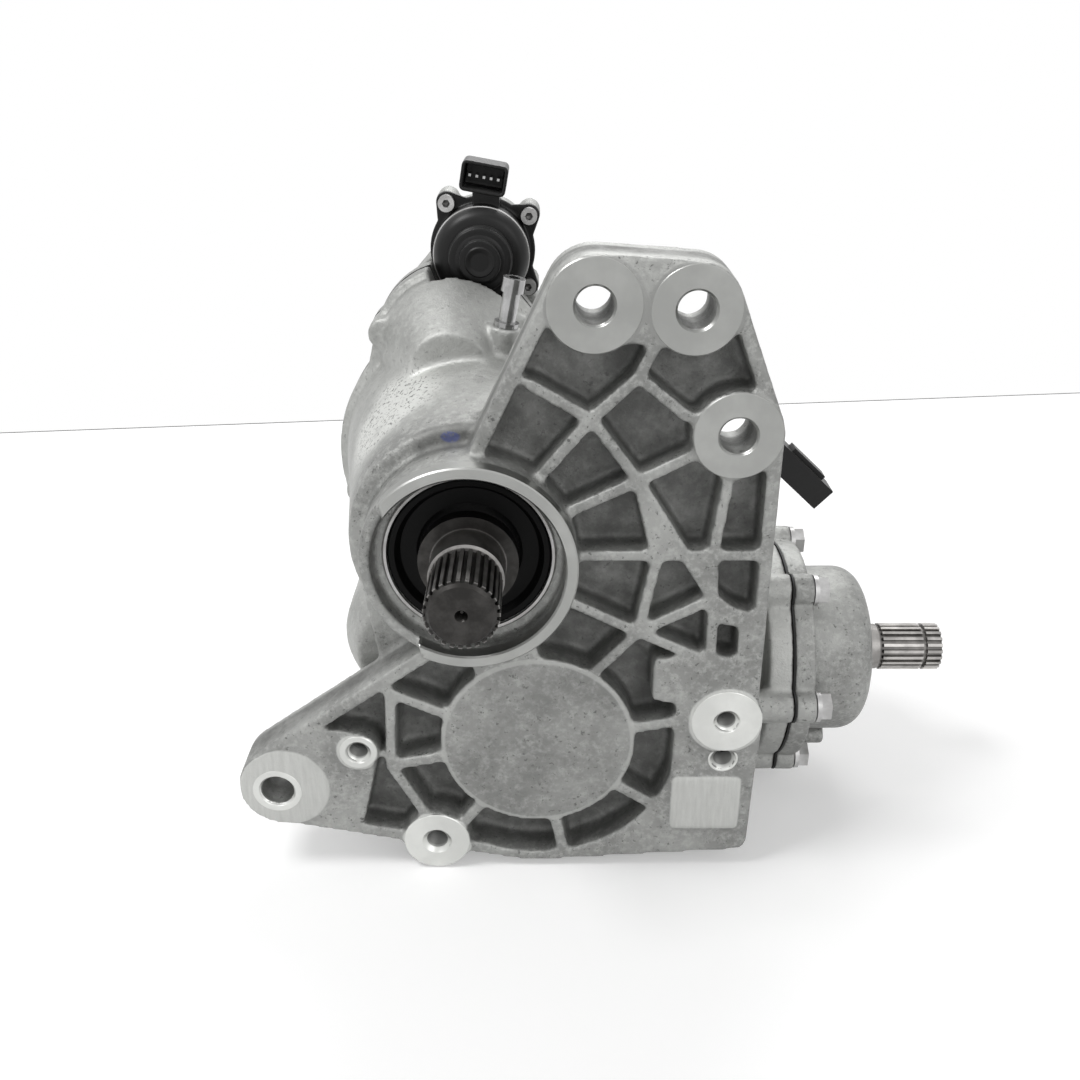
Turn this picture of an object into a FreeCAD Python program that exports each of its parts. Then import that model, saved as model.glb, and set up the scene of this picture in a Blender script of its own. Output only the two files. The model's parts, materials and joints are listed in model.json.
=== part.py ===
import FreeCAD, Part
import math
import os
import re
from types import SimpleNamespace
import Sketcher
from FreeCAD import Placement, Rotation, Vector

# Front differential with a side pinion, a transfer gear pair and a rear axle disconnect.
# Frame: the origin is on the axle axis, in the plane of the front mounting faces.
# +X points to the pinion shaft, +Y away from the front face along the axle, +Z up.

doc = FreeCAD.newDocument("FrontDifferential")
sheet = doc.addObject("Spreadsheet::Sheet", "Sizes")

sizes = {
    # general fits
    "seat_gap": 0.3,
    "running_gap": 0.06,
    "roller_gap": 0.12,
    "wall": 6.0,
    # counter shaft position and pinion position
    "counter_x": 28.3,
    "counter_z": -93.3,
    "pinion_y": 85.6,
    # ribbed front plate
    "rib_face_y": 1.2,
    "pocket_floor_y": 15.0,
    "plate_back_y": 28.0,
    "plate_web": 5.0,
    "rib_width": 5.0,
    "boss_one_x": 49.8,
    "boss_one_z": 104.8,
    "boss_one_radius": 19.0,
    "boss_two_x": 88.0,
    "boss_two_z": 103.1,
    "boss_two_radius": 18.0,
    "boss_three_x": 107.3,
    "boss_three_z": 53.4,
    "boss_three_radius": 18.5,
    "top_bolt_radius": 7.35,
    "ear_x": -88.5,
    "ear_z": -118.0,
    "ear_radius": 20.5,
    "ear_hole_x": -91.5,
    "ear_hole_z": -119.3,
    "ear_bolt_radius": 7.55,
    "ear_back_y": 24.0,
    "side_tapped_x": 112.5,
    "side_tapped_z": -81.0,
    "side_tapped_radius": 16.4,
    "side_thread_radius": 5.1,
    "side_thread_depth": 20.0,
    "lower_hole_drop": 21.2,
    "lower_hole_radius": 5.1,
    "lower_hole_depth": 14.0,
    "foot_x": -19.1,
    "foot_z": -148.7,
    "foot_radius": 16.0,
    "foot_thread_radius": 6.0,
    "foot_thread_depth": 20.0,
    "small_boss_x": -52.8,
    "small_boss_z": -97.7,
    "small_boss_radius": 9.3,
    "small_thread_radius": 5.0,
    "small_thread_depth": 12.0,
    "corner_x": 121.0,
    "corner_z": -149.0,
    "corner_radius": 6.0,
    "pad_width": 30.5,
    "pad_top_z": -112.2,
    "pad_bottom_z": -140.8,
    "hub_radius": 23.0,
    "hub_x": 13.5,
    "hub_z": 18.8,
    # collar round the front stub shaft
    "collar_front_y": -12.0,
    "collar_step_y": -6.0,
    "collar_radius": 45.0,
    "collar_bore": 40.0,
    "collar_floor_y": 3.0,
    # dome over the counter shaft
    "dome_face_radius": 44.0,
    "dome_wall": 5.0,
    "dome_outer_radius": 68.0,
    "dome_rib_width": 5.5,
    "dome_floor_y": 17.0,
    # bell and rear flange of the main housing
    "bell_front_radius": 52.0,
    "bell_mid_y": 60.0,
    "bell_mid_radius": 58.5,
    "bell_rear_radius": 71.0,
    "bulge_x": -24.0,
    "bulge_z": -66.0,
    "bulge_radius": 40.0,
    "bulge_front_y": 34.0,
    "bulge_rear_y": 100.0,
    "rim_front_y": 118.0,
    "rear_y": 130.0,
    "rim_radius": 72.5,
    "counter_bell_radius": 66.0,
    "counter_rim_radius": 68.0,
    "lobe_x": -12.0,
    "lobe_z": 56.0,
    "lobe_radius": 40.0,
    "lobe_front_y": 84.0,
    "cover_bolt_radius": 4.0,
    "cover_lug_wall": 4.0,
    "cover_lug_inset": 0.6,
    "cover_lug_length": 20.0,
    "bolt_clearance": 0.3,
    "bolt_head_across": 12.0,
    "bolt_head_height": 7.0,
    "cover_bolt_length": 26.0,
    "cover_bolt_depth": 18.0,
    "clutch_bolt_length": 16.0,
    "oil_plug_circle": 52.0,
    "oil_plug_radius": 9.0,
    # pinion neck and its cover
    "neck_radius": 44.0,
    "neck_end_x": 149.0,
    "neck_flange": 12.0,
    "neck_flange_radius": 55.0,
    "neck_bolt_circle": 55.0,
    "neck_lug_radius": 8.0,
    "neck_bolt_length": 24.0,
    "gasket": 0.8,
    "pinion_cover_flange": 10.0,
    "pinion_cover_radius": 42.0,
    "pinion_cover_end_x": 193.0,
    "pinion_cover_round": 12.0,
    # actuator
    "motor_x": 1.0,
    "motor_z": 98.0,
    "motor_radius": 23.0,
    "motor_flange_y": 147.0,
    "motor_length": 31.0,
    "motor_seat_depth": 3.0,
    "motor_ear_offset": 5.5,
    "motor_screw_radius": 2.5,
    "socket_shift": 2.0,
    "socket_rise": 13.0,
    "socket_width": 22.0,
    "socket_height": 14.0,
    "socket_depth": 20.0,
    "socket_wall": 1.6,
    "socket_tilt": 10.0,
    "pin_pitch": 3.4,
    "saddle_gap": 1.8,
    "screw_radius": 5.0,
    "screw_lead": 4.0,
    "rail_x": -24.0,
    "rail_z": 74.0,
    "rail_radius": 5.0,
    # wiring plug on its bracket
    "plug_x": 130.1,
    "plug_z": 21.9,
    "plug_length": 34.0,
    "plug_width": 14.0,
    "plug_height": 11.5,
    "plug_latch": 2.0,
    "plug_tilt": 43.0,
    "bracket_thickness": 2.0,
    "bracket_length": 44.0,
    "bracket_below": 8.0,
    "bracket_above": 10.0,
    # breather pipe on top of the bell
    "pipe_x": 13.0,
    "pipe_y": 92.0,
    "pipe_z": 70.0,
    "pipe_radius": 4.0,
    "pipe_length": 24.0,
    "pipe_lean": 4.5,
    "pipe_seat": 4.0,
    "pipe_root": 8.0,
    "pipe_boss_wall": 4.0,
    "pipe_boss_length": 28.0,
    # differential
    "case_centre_y": 78.0,
    "case_radius": 38.0,
    "gear_seat_radius": 31.0,
    "case_bolt_radius": 3.0,
    "case_flange_width": 10.5,
    "case_flange_thickness": 7.0,
    "case_end_wall": 5.0,
    "case_cavity_radius": 24.5,
    "case_cavity_half": 24.0,
    "side_pitch": 20.0,
    "spider_pitch": 12.5,
    "spider_seat": 25.0,
    "diff_gear_face": 9.0,
    "cross_pin_radius": 5.5,
    "axle_radius": 16.0,
    "side_bore": 10.5,
    "trunnion_radius": 24.0,
    # transfer gears
    "gear_module": 2.5,
    "case_gear_y": 29.0,
    "case_gear_width": 14.0,
    "counter_gear_width": 12.0,
    # bevel pair
    "bevel_pitch": 44.0,
    "pinion_pitch": 20.0,
    "bevel_face": 13.0,
    "bevel_back_y": 53.0,
    "bevel_seat_radius": 26.0,
    "bevel_bolt_circle": 33.5,
    "bevel_bolt_radius": 3.0,
    # bearings
    "bearing_lip": 5.0,
    "case_bearing_outer": 36.0,
    "case_bearing_width": 15.0,
    "counter_journal": 15.0,
    "counter_bearing_outer": 27.0,
    "counter_bearing_width": 14.0,
    "counter_front_y": 9.0,
    "head_journal": 17.0,
    "head_bearing_outer": 31.0,
    "head_bearing_x": 80.0,
    "head_bearing_width": 18.0,
    "tail_journal": 14.0,
    "tail_bearing_outer": 28.0,
    "tail_bearing_x": 160.0,
    "tail_bearing_width": 13.0,
    # front stub shaft
    "stub_end_y": -48.0,
    "stub_spline_radius": 14.75,
    "stub_spline_length": 28.0,
    "stub_neck_radius": 15.5,
    "stub_ring_radius": 20.8,
    "front_seal_radius": 34.0,
    # pinion shaft spline
    "pinion_spline_radius": 12.0,
    "pinion_spline_root": 10.9,
    "pinion_spline_start_x": 205.0,
    "pinion_end_x": 235.0,
    "pinion_seal_radius": 25.0,
    # rear output and disconnect
    "clutch_front_y": 142.0,
    "clutch_rear_y": 186.0,
    "clutch_radius": 50.0,
    "dog_radius": 22.0,
    "sleeve_radius": 29.0,
    "sleeve_front_y": 146.0,
    "sleeve_length": 16.0,
    "sleeve_travel": 8.0,
    "fork_thickness": 5.0,
    "output_bearing_outer": 30.0,
    "output_bearing_width": 9.0,
    "chamber_gap": 2.0,
    "output_end_y": 196.0,
    "axle_socket_radius": 12.0,
    "axle_socket_depth": 30.0,
}

for row, (alias, number) in enumerate(sizes.items(), 1):
    sheet.set("A%d" % row, alias)
    sheet.set("B%d" % row, str(number))
    sheet.setAlias("B%d" % row, alias)
doc.recompute()

s = SimpleNamespace(**{alias: float(sheet.get(alias)) for alias in sizes})

AXLE = (0.0, 0.0)
COUNTER = (s.counter_x, s.counter_z)
MOTOR = (s.motor_x, s.motor_z)
RAIL = (s.rail_x, s.rail_z)
ALONG_Y = Vector(0, 1, 0)
ALONG_X = Vector(1, 0, 0)
PRESSURE = math.radians(20)


def sheet_names(expression):
    """Write an expression on size names as the document reads it."""
    def named(match):
        word = match.group(0)
        return "Sizes." + word if word in sizes else word
    return re.sub(r"[a-z][a-z_0-9]*", named, expression)


def value(expression):
    result = sheet.evalExpression(sheet_names(expression))
    return float(getattr(result, "Value", result))


def turned(label, profile, place, axis):
    """A turned piece: profile holds (radius, distance along the axis) as expressions."""
    body = doc.addObject("PartDesign::Body", "Body_" + label)
    body.Label = label
    plane = [item for item in body.Origin.OriginFeatures if item.Role == "XZ_Plane"][0]
    sketch = body.newObject("Sketcher::SketchObject", "Profile_" + label)
    sketch.AttachmentSupport = [(plane, "")]
    sketch.MapMode = "FlatFace"
    points = [Vector(value(radius), value(along), 0) for radius, along in profile]
    count = len(points)
    for index in range(count):
        sketch.addGeometry(Part.LineSegment(points[index], points[(index + 1) % count]), False)
    for index in range(count):
        follower = (index + 1) % count
        sketch.addConstraint(Sketcher.Constraint("Coincident", index, 2, follower, 1))
    for index, pair in enumerate(profile):
        for kind, expression, number in zip(("DistanceX", "DistanceY"), pair, points[index]):
            rule = Sketcher.Constraint(kind, -1, 1, index, 1, number)
            place_in_list = sketch.addConstraint(rule)
            if sheet_names(expression) != expression:
                sketch.setExpression("Constraints[%d]" % place_in_list, sheet_names(expression))
    spin = body.newObject("PartDesign::Revolution", "Turn_" + label)
    spin.Profile = sketch
    spin.ReferenceAxis = (sketch, ["V_Axis"])
    spin.Angle = 360
    turns = {
        "x": Rotation(Vector(0, 1, 0), 90),
        "y": Rotation(Vector(1, 0, 0), -90),
        "z": Rotation(),
    }
    body.Placement = Placement(Vector(0, 0, 0), turns[axis])
    for letter, expression in zip("xyz", place):
        if sheet_names(expression) != expression:
            body.setExpression("Placement.Base." + letter, sheet_names(expression))
    return body


def shaped(label, shape):
    """A piece whose shape is worked out from the sheet by the functions below."""
    piece = doc.addObject("Part::Feature", "Piece_" + label)
    piece.Label = label
    piece.Shape = shape
    return piece


def rod(radius, start, end, centre, axis="y"):
    """A cylinder along Y at (x, z), or along X at (y, z)."""
    if axis == "y":
        base, heading = Vector(centre[0], start, centre[1]), ALONG_Y
    else:
        base, heading = Vector(start, centre[0], centre[1]), ALONG_X
    return Part.makeCylinder(radius, end - start, base, heading)


def taper(start_radius, end_radius, start, end, centre, axis="y"):
    """A cone between two radii, along Y at (x, z) or along X at (y, z)."""
    if axis == "y":
        base, heading = Vector(centre[0], start, centre[1]), ALONG_Y
    else:
        base, heading = Vector(start, centre[0], centre[1]), ALONG_X
    return Part.makeCone(start_radius, end_radius, end - start, base, heading)


def lathe(profile, centre, axis="y"):
    """A solid turned from (radius, along) corners about an axis, with its centre as in rod."""
    if axis == "y":
        base = Vector(centre[0], 0, centre[1])
        points = [base + Vector(radius, along, 0) for radius, along in profile]
    else:
        base = Vector(0, centre[0], centre[1])
        points = [base + Vector(along, radius, 0) for radius, along in profile]
    face = Part.Face(Part.makePolygon(points + points[:1]))
    return face.revolve(base, ALONG_Y if axis == "y" else ALONG_X, 360)


def ring(outer, inner, start, end, centre, axis="y"):
    return rod(outer, start, end, centre, axis).cut(rod(inner, start - 1, end + 1, centre, axis))


def flat_face(points):
    """A face in the XZ plane from (x, z) corners."""
    corners = [Vector(x, 0, z) for x, z in points]
    return Part.Face(Part.makePolygon(corners + corners[:1]))


def pushed(face, start, end):
    """A face of the XZ plane pushed along Y from start to end."""
    moved = face.translated(Vector(0, start, 0))
    return moved.extrude(Vector(0, end - start, 0))


def block(low, high):
    size = [b - a for a, b in zip(low, high)]
    return Part.makeBox(size[0], size[1], size[2], Vector(*low))


def belt(circles):
    """The outline that a belt takes round circles (x, z, radius) given anticlockwise."""
    count = len(circles)
    normals = []
    for index in range(count):
        x0, z0, r0 = circles[index]
        x1, z1, r1 = circles[(index + 1) % count]
        length = math.hypot(x1 - x0, z1 - z0)
        heading = math.atan2(z1 - z0, x1 - x0)
        normals.append(heading - math.pi / 2 + math.asin((r0 - r1) / length))
    edges = []
    for index in range(count):
        x, z, radius = circles[index]
        first = normals[index - 1]
        sweep = (normals[index] - first) % (2 * math.pi)
        stops = [first, first + sweep / 2, first + sweep]
        start, middle, end = [
            Vector(x + radius * math.cos(a), 0, z + radius * math.sin(a)) for a in stops
        ]
        if sweep > 1e-6:
            edges.append(Part.Arc(start, middle, end).toShape())
        x1, z1, r1 = circles[(index + 1) % count]
        reach = Vector(x1 + r1 * math.cos(normals[index]), 0, z1 + r1 * math.sin(normals[index]))
        edges.append(Part.LineSegment(end, reach).toShape())
    return Part.Face(Part.Wire(edges))


def rib(first, last, width, start, end):
    """A straight wall with round ends between two points of the XZ plane."""
    half = width / 2
    return pushed(belt([(first[0], first[1], half), (last[0], last[1], half)]), start, end)


def around(centre, radius, degrees):
    angle = math.radians(degrees)
    return (centre[0] + radius * math.cos(angle), centre[1] + radius * math.sin(angle))


def joined(shapes):
    return shapes[0].multiFuse(shapes[1:]).removeSplitter() if len(shapes) > 1 else shapes[0]


def involute(angle):
    return math.tan(angle) - angle


def tooth_half_angle(teeth, pitch, radius, backlash):
    """Half of a tooth's angle at a radius, thinned by its share of the backlash."""
    base = pitch * math.cos(PRESSURE)
    at_radius = math.acos(min(1.0, base / radius))
    return math.pi / (2 * teeth) + involute(PRESSURE) - involute(at_radius) - backlash / (2 * pitch)


def spur_face(teeth, pitch, module, first_tooth, backlash=0.35):
    """Outline of a spur gear with a tooth centred on the angle first_tooth."""
    tip = pitch + 0.92 * module
    root = pitch - 1.2 * module
    tip_half = tooth_half_angle(teeth, pitch, tip, backlash)
    root_half = tooth_half_angle(teeth, pitch, max(root, pitch * math.cos(PRESSURE)), backlash)
    points = []
    for tooth in range(teeth):
        centre = first_tooth + 2 * math.pi * tooth / teeth
        for radius, angle in (
            (root, centre - root_half),
            (tip, centre - tip_half),
            (tip, centre + tip_half),
            (root, centre + root_half),
        ):
            points.append((radius * math.cos(angle), radius * math.sin(angle)))
    return flat_face(points)


def spline_face(teeth, tip, root, first_tooth=0.0, share=0.5):
    """Outline of a straight-sided spline; share is the tooth's part of its pitch."""
    points = []
    step = 2 * math.pi / teeth
    for tooth in range(teeth):
        centre = first_tooth + step * tooth
        for radius, offset in ((root, -0.5), (tip, -0.34), (tip, 0.34), (root, 0.5)):
            angle = centre + offset * step * share * 1.3
            points.append((radius * math.cos(angle), radius * math.sin(angle)))
    return flat_face(points)


def bevel_teeth(teeth, pitch, mate_pitch, module, face, first_tooth, backlash=0.35):
    """Straight bevel teeth about +Z with their cone's apex at the origin.

    Each tooth is a wedge on four rays from the apex.
    """
    cone = math.atan2(pitch, mate_pitch)
    far = math.hypot(pitch, mate_pitch)
    near = far - face
    tip = cone + math.atan(0.88 * module / far)
    root = cone - math.atan(1.25 * module / far)
    virtual = pitch / math.cos(cone)
    virtual_teeth = teeth / math.cos(cone)
    halves = []
    for depth in (1.0, -0.88):
        radius = max(virtual - depth * module, virtual * math.cos(PRESSURE))
        halves.append(tooth_half_angle(virtual_teeth, virtual, radius, backlash) / math.cos(cone))
    root_half, tip_half = halves
    wedges = []
    for tooth in range(teeth):
        centre = first_tooth + 2 * math.pi * tooth / teeth
        rays = []
        for slope, offset in ((root, -root_half), (tip, -tip_half), (tip, tip_half), (root, root_half)):
            angle = centre + offset
            rays.append(Vector(
                math.sin(slope) * math.cos(angle), math.sin(slope) * math.sin(angle), math.cos(slope)))
        quads = []
        for distance in (near, far):
            corners = [ray * distance for ray in rays]
            quads.append(Part.makePolygon(corners + corners[:1]))
        wedges.append(Part.makeLoft(quads, True, True))
    return wedges, cone, root, near, far


def bevel_gear(teeth, pitch, mate_pitch, module, face, first_tooth, back, bore):
    """A bevel gear about +Z, apex at the origin, its back face at distance back."""
    wedges, cone, root, near, far = bevel_teeth(
        teeth, pitch, mate_pitch, module, face, first_tooth)
    seat = root + 0.012
    edge = far * math.sin(seat)
    profile = [
        Vector(bore, 0, near * math.cos(seat)),
        Vector(near * math.sin(seat), 0, near * math.cos(seat)),
        Vector(edge, 0, far * math.cos(seat)),
        Vector(edge, 0, back),
        Vector(bore, 0, back),
    ]
    blank = Part.Face(Part.makePolygon(profile + profile[:1])).revolve(Vector(), Vector(0, 0, 1), 360)
    return blank.multiFuse(wedges)


def aimed(shape, apex, direction, spin=0.0):
    """Turn a shape built about +Z so that +Z points along direction, and move its apex."""
    turn = Rotation(Vector(0, 0, 1), direction)
    shape.Placement = Placement(apex, turn.multiply(Rotation(Vector(0, 0, 1), spin)))
    return shape


def hex_bolt(radius, length, head_across, head_height, seat, direction):
    """A hexagon flange bolt: seat is under the head, direction points out of the head."""
    head = Part.Face(Part.makePolygon([
        Vector(head_across / math.sqrt(3) * math.cos(math.radians(60 * k)),
               head_across / math.sqrt(3) * math.sin(math.radians(60 * k)), 0)
        for k in range(7)])).extrude(Vector(0, 0, head_height))
    washer = Part.makeCylinder(head_across * 0.62, head_height * 0.3)
    shank = Part.makeCylinder(radius, length, Vector(0, 0, -length))
    bolt = head.multiFuse([washer, shank])
    return aimed(bolt, seat, direction)


# Named places on the front plate, as radius and angle about the axle axis
node_left_edge = around(AXLE, 78.1, 70.9)
node_upper_left = around(AXLE, 77.7, 50.4)
node_notch = around(AXLE, 102.2, 48.7)
node_upper_right = around(AXLE, 106.0, 35.3)
node_middle = around(AXLE, 76.8, 26.1)
node_centre_right = around(AXLE, 78.0, -0.5)
node_right = around(AXLE, 101.0, -0.2)
node_right_edge = around(AXLE, 122.0, 0.2)
node_right_low = around(AXLE, 104.5, -11.1)
node_edge_low = around(AXLE, 125.0, -15.4)
node_low = around(AXLE, 80.1, -26.9)
node_low_right = around(AXLE, 115.5, -26.3)
node_arm = (s.small_boss_x + 15.8, s.small_boss_z + 30.5)
node_arm_low = (s.small_boss_x + 14.3, s.small_boss_z - 9.0)

boss_one = (s.boss_one_x, s.boss_one_z)
boss_two = (s.boss_two_x, s.boss_two_z)
boss_three = (s.boss_three_x, s.boss_three_z)
side_tapped = (s.side_tapped_x, s.side_tapped_z)
lower_hole = (s.side_tapped_x, s.side_tapped_z - s.lower_hole_drop)
ear = (s.ear_x, s.ear_z)
foot = (s.foot_x, s.foot_z)
small_boss = (s.small_boss_x, s.small_boss_z)
bulge_at = (s.bulge_x, s.bulge_z)
collar_start_y = s.pocket_floor_y + 4.0
cavity_front_y = s.pocket_floor_y + s.plate_web


def upper_belt(inset):
    corner = max(s.corner_radius - inset, 0.5)
    return belt([
        (s.hub_x, s.hub_z, s.hub_radius - inset),
        (s.corner_x, s.corner_z, corner),
        (s.boss_three_x, s.boss_three_z, s.boss_three_radius - inset),
        (s.boss_two_x, s.boss_two_z, s.boss_two_radius - inset),
        (s.boss_one_x, s.boss_one_z, s.boss_one_radius - inset),
    ])


def lower_belt(inset):
    corner = max(s.corner_radius - inset, 0.5)
    return belt([
        (s.counter_x, s.counter_z, s.dome_outer_radius - inset),
        (s.corner_x, s.corner_z, corner),
        (s.side_tapped_x, s.side_tapped_z, s.side_tapped_radius - inset),
    ])


def arm_belt(inset):
    return belt([
        (s.ear_x, s.ear_z, s.ear_radius - inset),
        (s.counter_x, s.counter_z, s.dome_outer_radius - inset),
    ])


def dome_rib(degrees):
    start = around(COUNTER, s.dome_face_radius - 2, degrees)
    end = around(COUNTER, s.dome_outer_radius - 2, degrees)
    return rib(start, end, s.dome_rib_width, s.rib_face_y, s.plate_back_y)


def plate_ribs():
    pairs = [
        (node_left_edge, node_upper_left), (node_upper_left, node_notch),
        (node_notch, around(boss_one, 28.0, -32.0)), (node_notch, node_upper_right),
        (node_upper_right, boss_three), (AXLE, node_upper_left),
        (node_upper_left, node_middle), (AXLE, node_middle), (node_middle, boss_three),
        (node_middle, node_centre_right), (boss_three, node_right), (AXLE, node_right_edge),
        (node_centre_right, node_low), (node_right_low, node_low), (node_right, node_right_low),
        (node_right_low, node_edge_low), (node_right_low, node_low_right), (AXLE, node_low),
        (node_low, node_low_right), (node_low, around(COUNTER, s.dome_face_radius, 56)),
        (node_middle, node_right_low),
    ]
    return [rib(a, b, s.rib_width, s.rib_face_y, s.plate_back_y) for a, b in pairs]


def arm_ribs():
    return [
        rib(node_arm, node_arm_low, s.rib_width, s.rib_face_y, s.plate_back_y),
        rib(node_arm_low, around(COUNTER, s.dome_face_radius, 191), s.rib_width,
            s.rib_face_y, s.plate_back_y),
        rib(node_arm_low, around(foot, 5.0, 90), s.rib_width, s.rib_face_y, s.plate_back_y),
        rib(node_arm, around(COUNTER, s.dome_face_radius, 160), s.rib_width,
            s.rib_face_y, s.plate_back_y),
    ]


def solid_areas():
    """Parts of the front plate that have no pockets."""
    right_pad = belt([
        (s.side_tapped_x, s.side_tapped_z, s.side_tapped_radius),
        (s.corner_x - s.pad_width + 4, s.side_tapped_z + 6, 5.0),
        (s.corner_x - s.pad_width + 4, s.corner_z, s.corner_radius),
        (s.corner_x, s.corner_z, s.corner_radius),
    ])
    low_panel = belt([
        (node_low_right[0] + 8, node_low_right[1], 3.0),
        (node_low_right[0] - 22, node_low_right[1] - 1, 3.0),
        (node_low_right[0] - 22, node_low_right[1] - 17, 3.0),
        (node_low_right[0] + 8, node_low_right[1] - 22, 3.0),
    ])
    ear_web = belt([
        (s.ear_x, s.ear_z, s.ear_radius),
        (s.small_boss_x - 6, s.small_boss_z - 36, 7.0),
        (s.small_boss_x, s.small_boss_z, s.small_boss_radius),
        (s.small_boss_x - 10, s.small_boss_z + 6, 5.0),
    ])
    top_web = belt([
        (s.boss_one_x, s.boss_one_z, s.boss_one_radius - 4),
        (s.boss_two_x, s.boss_two_z, s.boss_two_radius - 4),
    ])
    side_web = belt([
        (node_low_right[0] + 17, node_low_right[1] + 20, 4.5),
        (node_low_right[0] + 6, node_low_right[1] + 23, 4.5),
    ])
    edge_web = belt([
        (node_low_right[0] + 14.5, node_low_right[1] + 20, 3.5),
        (node_low_right[0] + 14.5, node_low_right[1] - 16, 3.5),
    ])
    faces = [right_pad, low_panel, ear_web, top_web, side_web, edge_web]
    solids = [pushed(face, s.rib_face_y, s.plate_back_y) for face in faces]
    joints_at = (around(AXLE, 81.1, 5.8), around(AXLE, 96.9, -1.9))
    return solids + [rod(s.rib_width, s.rib_face_y, s.plate_back_y, place) for place in joints_at]


def rim_outline(grow=0.0):
    """The rear flange's outline, about the axle, the counter shaft and the shift rail."""
    main = belt([
        (0, 0, s.rim_radius + grow),
        (s.counter_x, s.counter_z, s.counter_rim_radius + grow),
    ])
    lobe = belt([
        (0, 0, s.rim_radius + grow - 8),
        (s.lobe_x, s.lobe_z, s.lobe_radius + grow),
    ])
    return main, lobe


cover_lug_radius = s.cover_bolt_radius + s.cover_lug_wall
cover_lug_depth = cover_lug_radius + s.cover_lug_inset
LOBE = (s.lobe_x, s.lobe_z)
cover_bolts = [
    around(AXLE, s.rim_radius - cover_lug_depth, degrees) for degrees in (350, 45, 195, 238)
] + [
    around(COUNTER, s.counter_rim_radius - cover_lug_depth, degrees)
    for degrees in (205, 248, 292, 345)
] + [
    around(LOBE, s.lobe_radius - cover_lug_depth, 20),
    around(LOBE, s.lobe_radius - cover_lug_depth + 3, 165),
]
pinion_axis = (s.pinion_y, s.counter_z)


def neck_place(index):
    """Centre (y, z) of one of the six bolts round the pinion axis; index 0 faces the front."""
    angle = math.radians(60 * index)
    return (s.pinion_y - s.neck_bolt_circle * math.cos(angle),
            s.counter_z + s.neck_bolt_circle * math.sin(angle))


pipe_base = Vector(s.pipe_x, s.pipe_y, s.pipe_z)
pipe_axis = Vector(s.pipe_lean, 0, s.pipe_length)
pipe_axis.normalize()
pipe_boss_radius = s.pipe_radius + s.pipe_boss_wall
pipe_boss_end = pipe_base + pipe_axis * s.pipe_seat
pipe_end = pipe_base - pipe_axis * s.pipe_root
head_end_x = s.head_bearing_x + s.head_bearing_width
case_bearing_y = s.case_gear_y - s.case_bearing_width
trunnion_front_y = case_bearing_y + 0.5
case_flange_y = s.case_gear_y + s.case_gear_width
case_rear_y = s.case_centre_y + s.case_cavity_half + s.case_end_wall
rear_bearing_end_y = case_rear_y + s.case_bearing_width
counter_rear_y = case_rear_y + 1.0
counter_end_y = counter_rear_y + s.counter_bearing_width


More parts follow.
